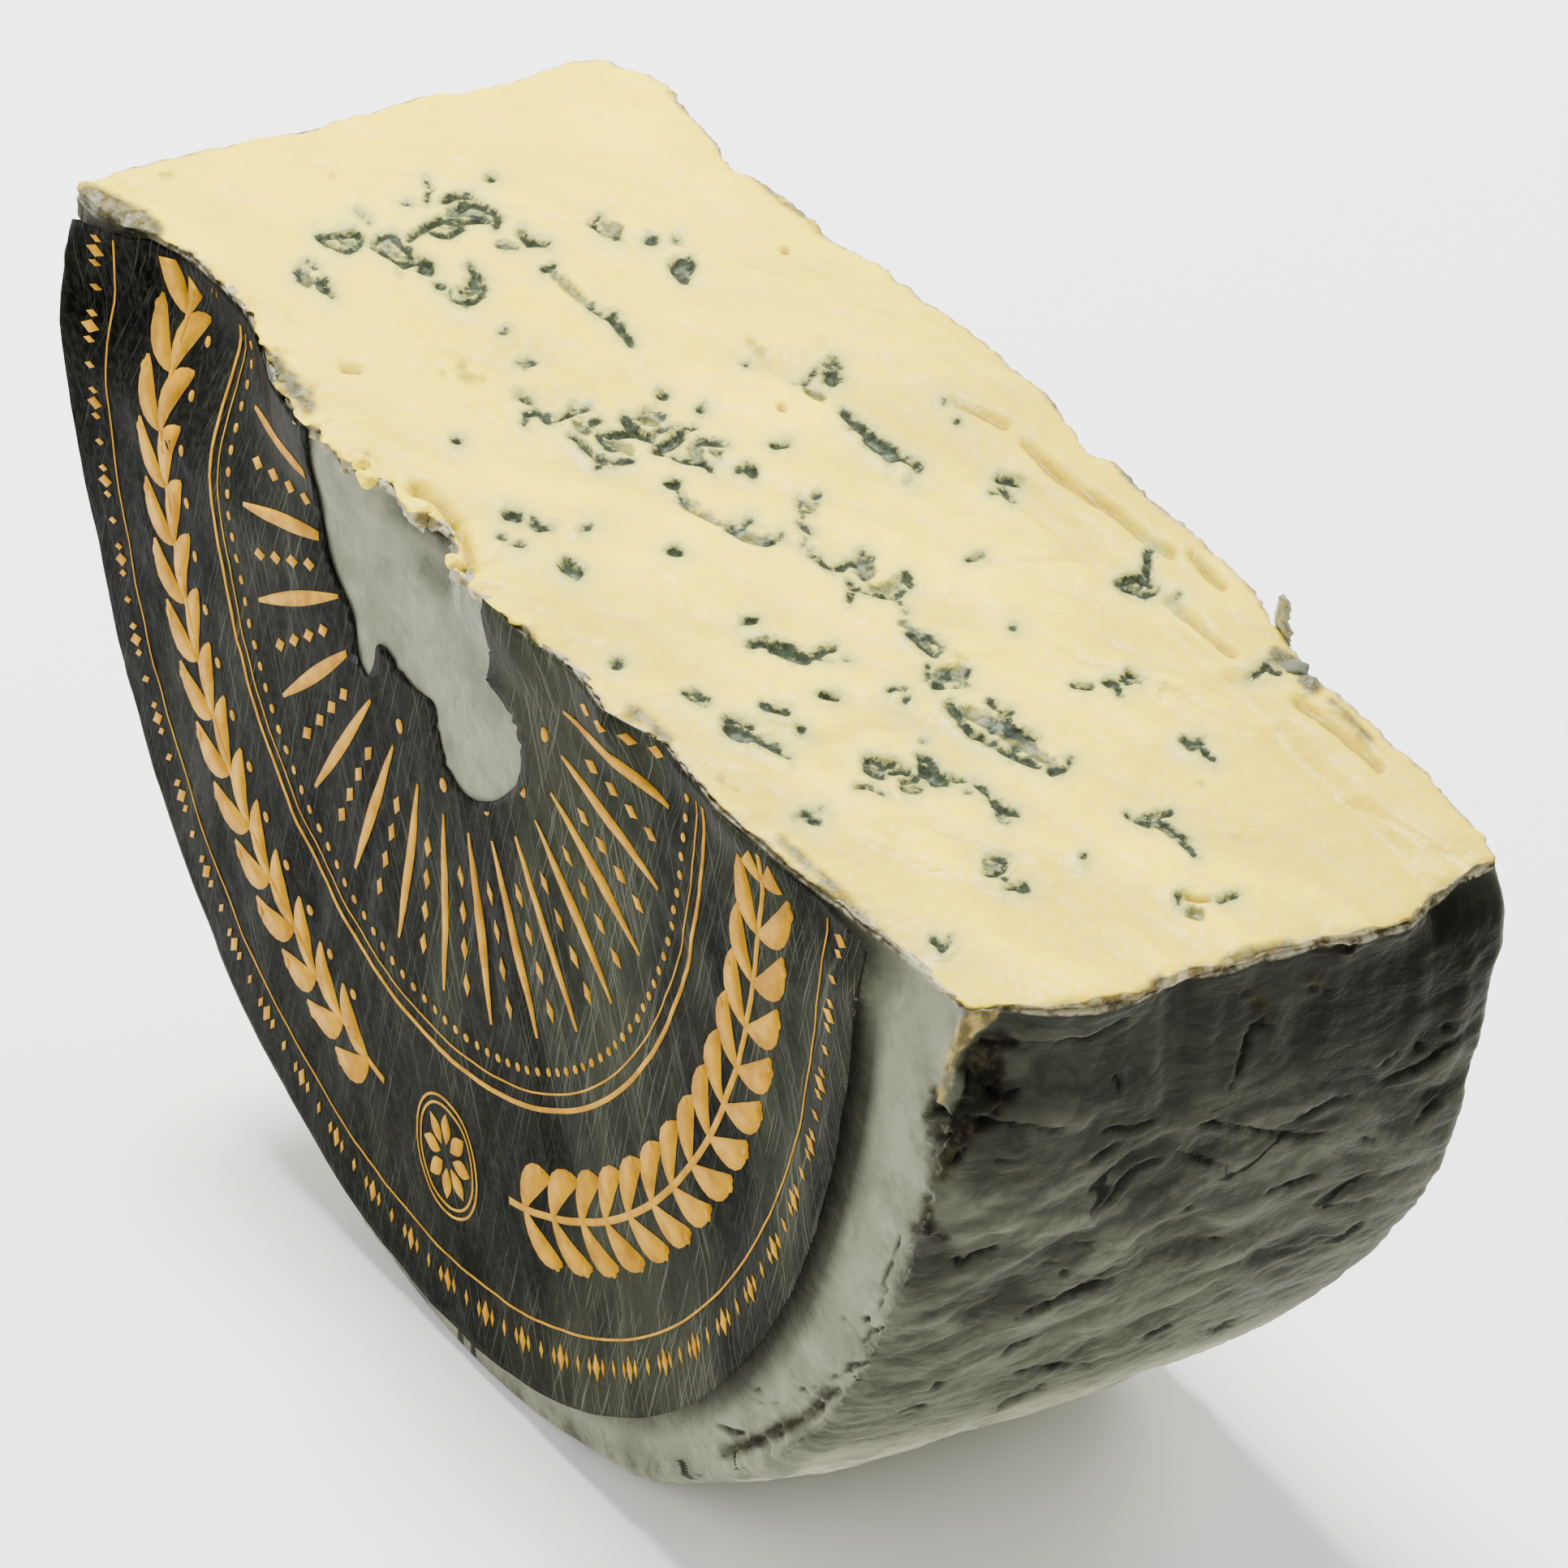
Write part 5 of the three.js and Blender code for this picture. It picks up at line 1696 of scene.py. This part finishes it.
def make_label():
    bm = bmesh.new()
    bmesh.ops.create_grid(bm, x_segments=LABEL_GRID[0], y_segments=LABEL_GRID[1], size=1.0)
    grid = coordinates(bm)
    across = np.sin(grid[:, 0] * QUARTER)
    x = LABEL_X + LABEL_RADIUS * (0.35 * grid[:, 0] + 0.65 * across)
    low = LABEL_Z - np.sqrt(np.maximum(LABEL_RADIUS ** 2 - (x - LABEL_X) ** 2, 0.0))
    high = np.maximum(label_top(x), low + 0.05)
    z = low + (high - low) * (grid[:, 1] + 1.0) / 2.0
    x, z = onto_window(x, z, high)
    move_to(bm, np.stack((x, label_y(x, z, 0.0), z), axis=1))
    cut_off(bm, window_depth(x, z) > 0.02)
    face_out(bm)
    points = coordinates(bm)
    obj = piece("label_film", bm, [film_material()], "label")
    # Where the film takes its painted sheen: more towards the near end and on its folds
    folds = noise_at(points, 14.0, 7.0, 3, (1.0, 1.0, 2.6))
    sheen = smooth(points[:, 0], -70.0, 60.0) * (0.55 + 0.9 * folds)
    set_values(obj, "sheen", np.clip(sheen + 0.25 * smooth(folds, 0.1, 0.5), 0.0, 1.0))
    thicken(obj, FILM, -1.0)


# The print on the label, in a plain pattern of leaves, rays, lozenges and rings

# Radii of its rings from the middle of the label, in millimetres, and how far round they go, in degrees
BORDER_RADIUS = 84.3
BORDER_LINE = 81.2
OUTER_DOTS = 73.9
ROSETTE_RADIUS = 69.0
GARLAND_RADIUS = 68.5
INNER_DOTS = 63.4
MIDDLE_LINES = ((56.4, 0.3), (54.6, 0.12))
DOTTED_RING = 52.2
RAYS = (27.0, 48.5)
RAY_TURN = 12.5
RAY_WIDTH = 0.85
CHAIN_RADIUS = 33.0
CHAIN_STEP = 4.2
MIDDLE_DOTS = 23.5
HALF_ROUND = 95.0
LEAF_PAIRS = 15
LEAF_LEAN = 34.0
LEAF_SIZE = (8.6, 1.75)
LEAF_STEP = 5.3
# Half the width of a shape at its points
THINNEST = 0.03
# Degrees in a radian, and the steps of an arc in millimetres
PER_RADIAN = 57.3
ARC_STEP = 1.5
PRINT_THICKNESS = 0.05
PRINT_OFF = 0.03
# The print keeps this far from the window, from the cut and from the label's edge
WINDOW_MARGIN = 0.9
TOP_MARGIN = 0.7
PRINT_MARGIN = 0.8


def polar(radius, angle):
    """A point of the label: angle in degrees from straight down, towards the near end."""
    turn = math.radians(angle)
    return LABEL_X + radius * math.sin(turn), LABEL_Z - radius * math.cos(turn)


def strip(bm, path, width, steps):
    """A flat shape along a path, as wide at each share of its length as width says."""
    made = bmesh.ops.create_grid(bm, x_segments=steps, y_segments=1, size=1.0)
    for vertex in made["verts"]:
        t = (vertex.co.x + 1.0) / 2.0
        side = 1.0 if vertex.co.y > 0 else -1.0
        here = Vector(path(t))
        ahead = Vector(path(min(t + 0.01, 1.0))) - Vector(path(max(t - 0.01, 0.0)))
        ahead.normalize()
        reach = width(t) * side
        vertex.co = (here.x - ahead.y * reach, 0.0, here.y + ahead.x * reach)


def spoke(bm, radius, angle, length, width, steps):
    """A strip along a radius of the label, from this radius outwards."""
    strip(bm, lambda t: polar(radius + length * t, angle), width, steps)


def arc(bm, radius, start, end, half_width):
    steps = max(6, int(abs(end - start) * radius / PER_RADIAN / ARC_STEP))
    strip(bm, lambda t: polar(radius, start + (end - start) * t), lambda t: half_width, steps)


def leaf(bm, radius, angle, lean):
    """A pointed leaf from a point of the garland, leaning off it by an angle."""
    length, half_width = LEAF_SIZE
    x, z = polar(radius, angle)
    heading = math.radians(angle + 90.0 + lean)
    step_x, step_z = math.sin(heading) * length, -math.cos(heading) * length
    bend = length * 0.18 * (1.0 if lean > 0 else -1.0)

    def path(t):
        sag = bend * math.sin(math.pi * t)
        return x + step_x * t - step_z / length * sag, z + step_z * t + step_x / length * sag

    def width(t):
        return half_width * max(math.sin(math.pi * min(t * 0.94 + 0.03, 1.0)), 0.02) ** 0.8

    strip(bm, path, width, 8)


def ray(bm, angle):
    inner, outer = RAYS

    def width(t):
        return max(RAY_WIDTH * math.sin(math.pi * (0.08 + 0.84 * t)), 0.08)

    spoke(bm, inner, angle, outer - inner, width, 14)


def lozenge(bm, radius, angle, long, half_width):
    def width(t):
        return max(half_width * (1.0 - abs(2.0 * t - 1.0)), THINNEST)

    spoke(bm, radius - long / 2, angle, long, width, 4)


def dot(bm, radius, angle, size):
    def width(t):
        return max(size * math.sqrt(max(1.0 - (2.0 * t - 1.0) ** 2, 0.0)), THINNEST)

    spoke(bm, radius - size, angle, 2.0 * size, width, 8)


def ring(bm, middle, radius, half_width):
    x, z = middle

    def path(t):
        return x + radius * math.sin(math.tau * t), z - radius * math.cos(math.tau * t)

    strip(bm, path, lambda t: half_width, 36)


def rosette(bm, radius, angle, size):
    x, z = polar(radius, angle)
    for k in range(8):
        turn = math.tau * k / 8
        reach_x, reach_z = math.sin(turn) * size, -math.cos(turn) * size

        def petal(t):
            share = 0.28 + 0.72 * t
            return x + reach_x * share, z + reach_z * share

        strip(bm, petal, lambda t: max(size * 0.2 * math.sin(math.pi * t), THINNEST), 6)
    for share in (1.16, 1.34):
        ring(bm, (x, z), size * share, 0.16)


def draw_border(bm):
    """Lozenges of two sizes outside a hairline."""
    for angle in range(-92, 93):
        if angle % 6 == 0:
            lozenge(bm, BORDER_RADIUS, angle, 3.0, 0.75)
        elif angle % 2 == 1:
            lozenge(bm, BORDER_RADIUS, angle, 1.9, 0.42)
    arc(bm, BORDER_LINE, -HALF_ROUND, HALF_ROUND, 0.14)


def draw_garland(bm):
    """A stem with leaves on both sides, open at the bottom round a rosette."""
    for side in (-1.0, 1.0):
        arc(bm, GARLAND_RADIUS, side * 12.0, side * 92.0, 0.42)
        for k in range(LEAF_PAIRS):
            angle = side * (15.0 + LEAF_STEP * k)
            for lean in (-LEAF_LEAN, LEAF_LEAN):
                leaf(bm, GARLAND_RADIUS, angle, lean if side > 0 else 180.0 + lean)
            dot(bm, OUTER_DOTS, angle + side * 4.4, 0.75)
            dot(bm, INNER_DOTS, angle + side * 4.4, 0.6)
    rosette(bm, ROSETTE_RADIUS, 0.0, 5.2)


def draw_middle(bm):
    """Hairlines and dots, then rays with chains of lozenges between them."""
    for radius, half_width in MIDDLE_LINES:
        arc(bm, radius, -HALF_ROUND, HALF_ROUND, half_width)
    for k in range(-36, 37):
        dot(bm, DOTTED_RING, k * 2.6, 0.5)
    for k in range(-7, 8):
        ray(bm, k * RAY_TURN)
        for j in range(4):
            lozenge(bm, CHAIN_RADIUS + CHAIN_STEP * j, (k + 0.5) * RAY_TURN, 2.7, 0.75)
    for k in range(-4, 5):
        dot(bm, MIDDLE_DOTS, k * 2 * RAY_TURN, 0.8)


def make_print():
    bm = bmesh.new()
    draw_border(bm)
    draw_garland(bm)
    draw_middle(bm)
    points = coordinates(bm)
    x, z = points[:, 0], points[:, 2]
    off = (window_depth(x, z) > -WINDOW_MARGIN) | (z > label_top(x) - TOP_MARGIN)
    off |= past_label(points) > -PRINT_MARGIN
    points[:, 1] = label_y(x, z, PRINT_OFF)
    move_to(bm, points)
    cut_off(bm, off)
    obj = piece("label_print", bm, [gold_material()])
    thicken(obj, PRINT_THICKNESS, 1.0)


# Floor and light

# Lamps: place in metres, width in metres and power in watts
LAMPS = {
    "key": ((-0.75, 0.05, 1.3), 0.5, 76.0),
    "fill": ((0.9, -1.1, 0.9), 0.9, 9.7),
    "side": ((-1.3, -0.9, 0.35), 0.4, 10.8),
    "back": ((-0.2, 1.1, 1.0), 0.8, 10.8),
}
LAMP_AIM = Vector((0.0, 0.0, 0.06))
SKY_STRENGTH = 0.92
FLOOR_GREY = 0.86
FLOOR_SIZE = 6.0


def make_floor():
    bm = bmesh.new()
    bmesh.ops.create_grid(bm, x_segments=1, y_segments=1, size=FLOOR_SIZE)
    mesh = bpy.data.meshes.new("floor")
    bm.to_mesh(mesh)
    bm.free()
    made, _, shader = material("floor")
    shader.inputs["Base Color"].default_value = (FLOOR_GREY, FLOOR_GREY, FLOOR_GREY, 1.0)
    shader.inputs["Roughness"].default_value = 0.7
    mesh.materials.append(made)
    obj = bpy.data.objects.new("floor", mesh)
    bpy.context.scene.collection.objects.link(obj)


def make_lamp(name, stands_at, width, power):
    data = bpy.data.lights.new(name, "AREA")
    data.shape = "DISK"
    data.size = width
    data.energy = power
    lamp = bpy.data.objects.new(name, data)
    lamp.location = stands_at
    lamp.rotation_euler = (Vector(stands_at) - LAMP_AIM).to_track_quat("Z", "Y").to_euler()
    bpy.context.scene.collection.objects.link(lamp)


def make_light():
    world = bpy.data.worlds.new("studio")
    world.use_nodes = True
    sky = world.node_tree.nodes["Background"]
    sky.inputs["Color"].default_value = (1.0, 1.0, 1.0, 1.0)
    sky.inputs["Strength"].default_value = SKY_STRENGTH
    bpy.context.scene.world = world
    for name, (stands_at, width, power) in LAMPS.items():
        make_lamp(name, stands_at, width, power)


paste = paste_material()
rind = rind_material()
make_paste(paste)
make_rind(rind)
make_crumbs([paste, rind])
make_flake(rind)
make_label()
make_print()
make_floor()
make_light()
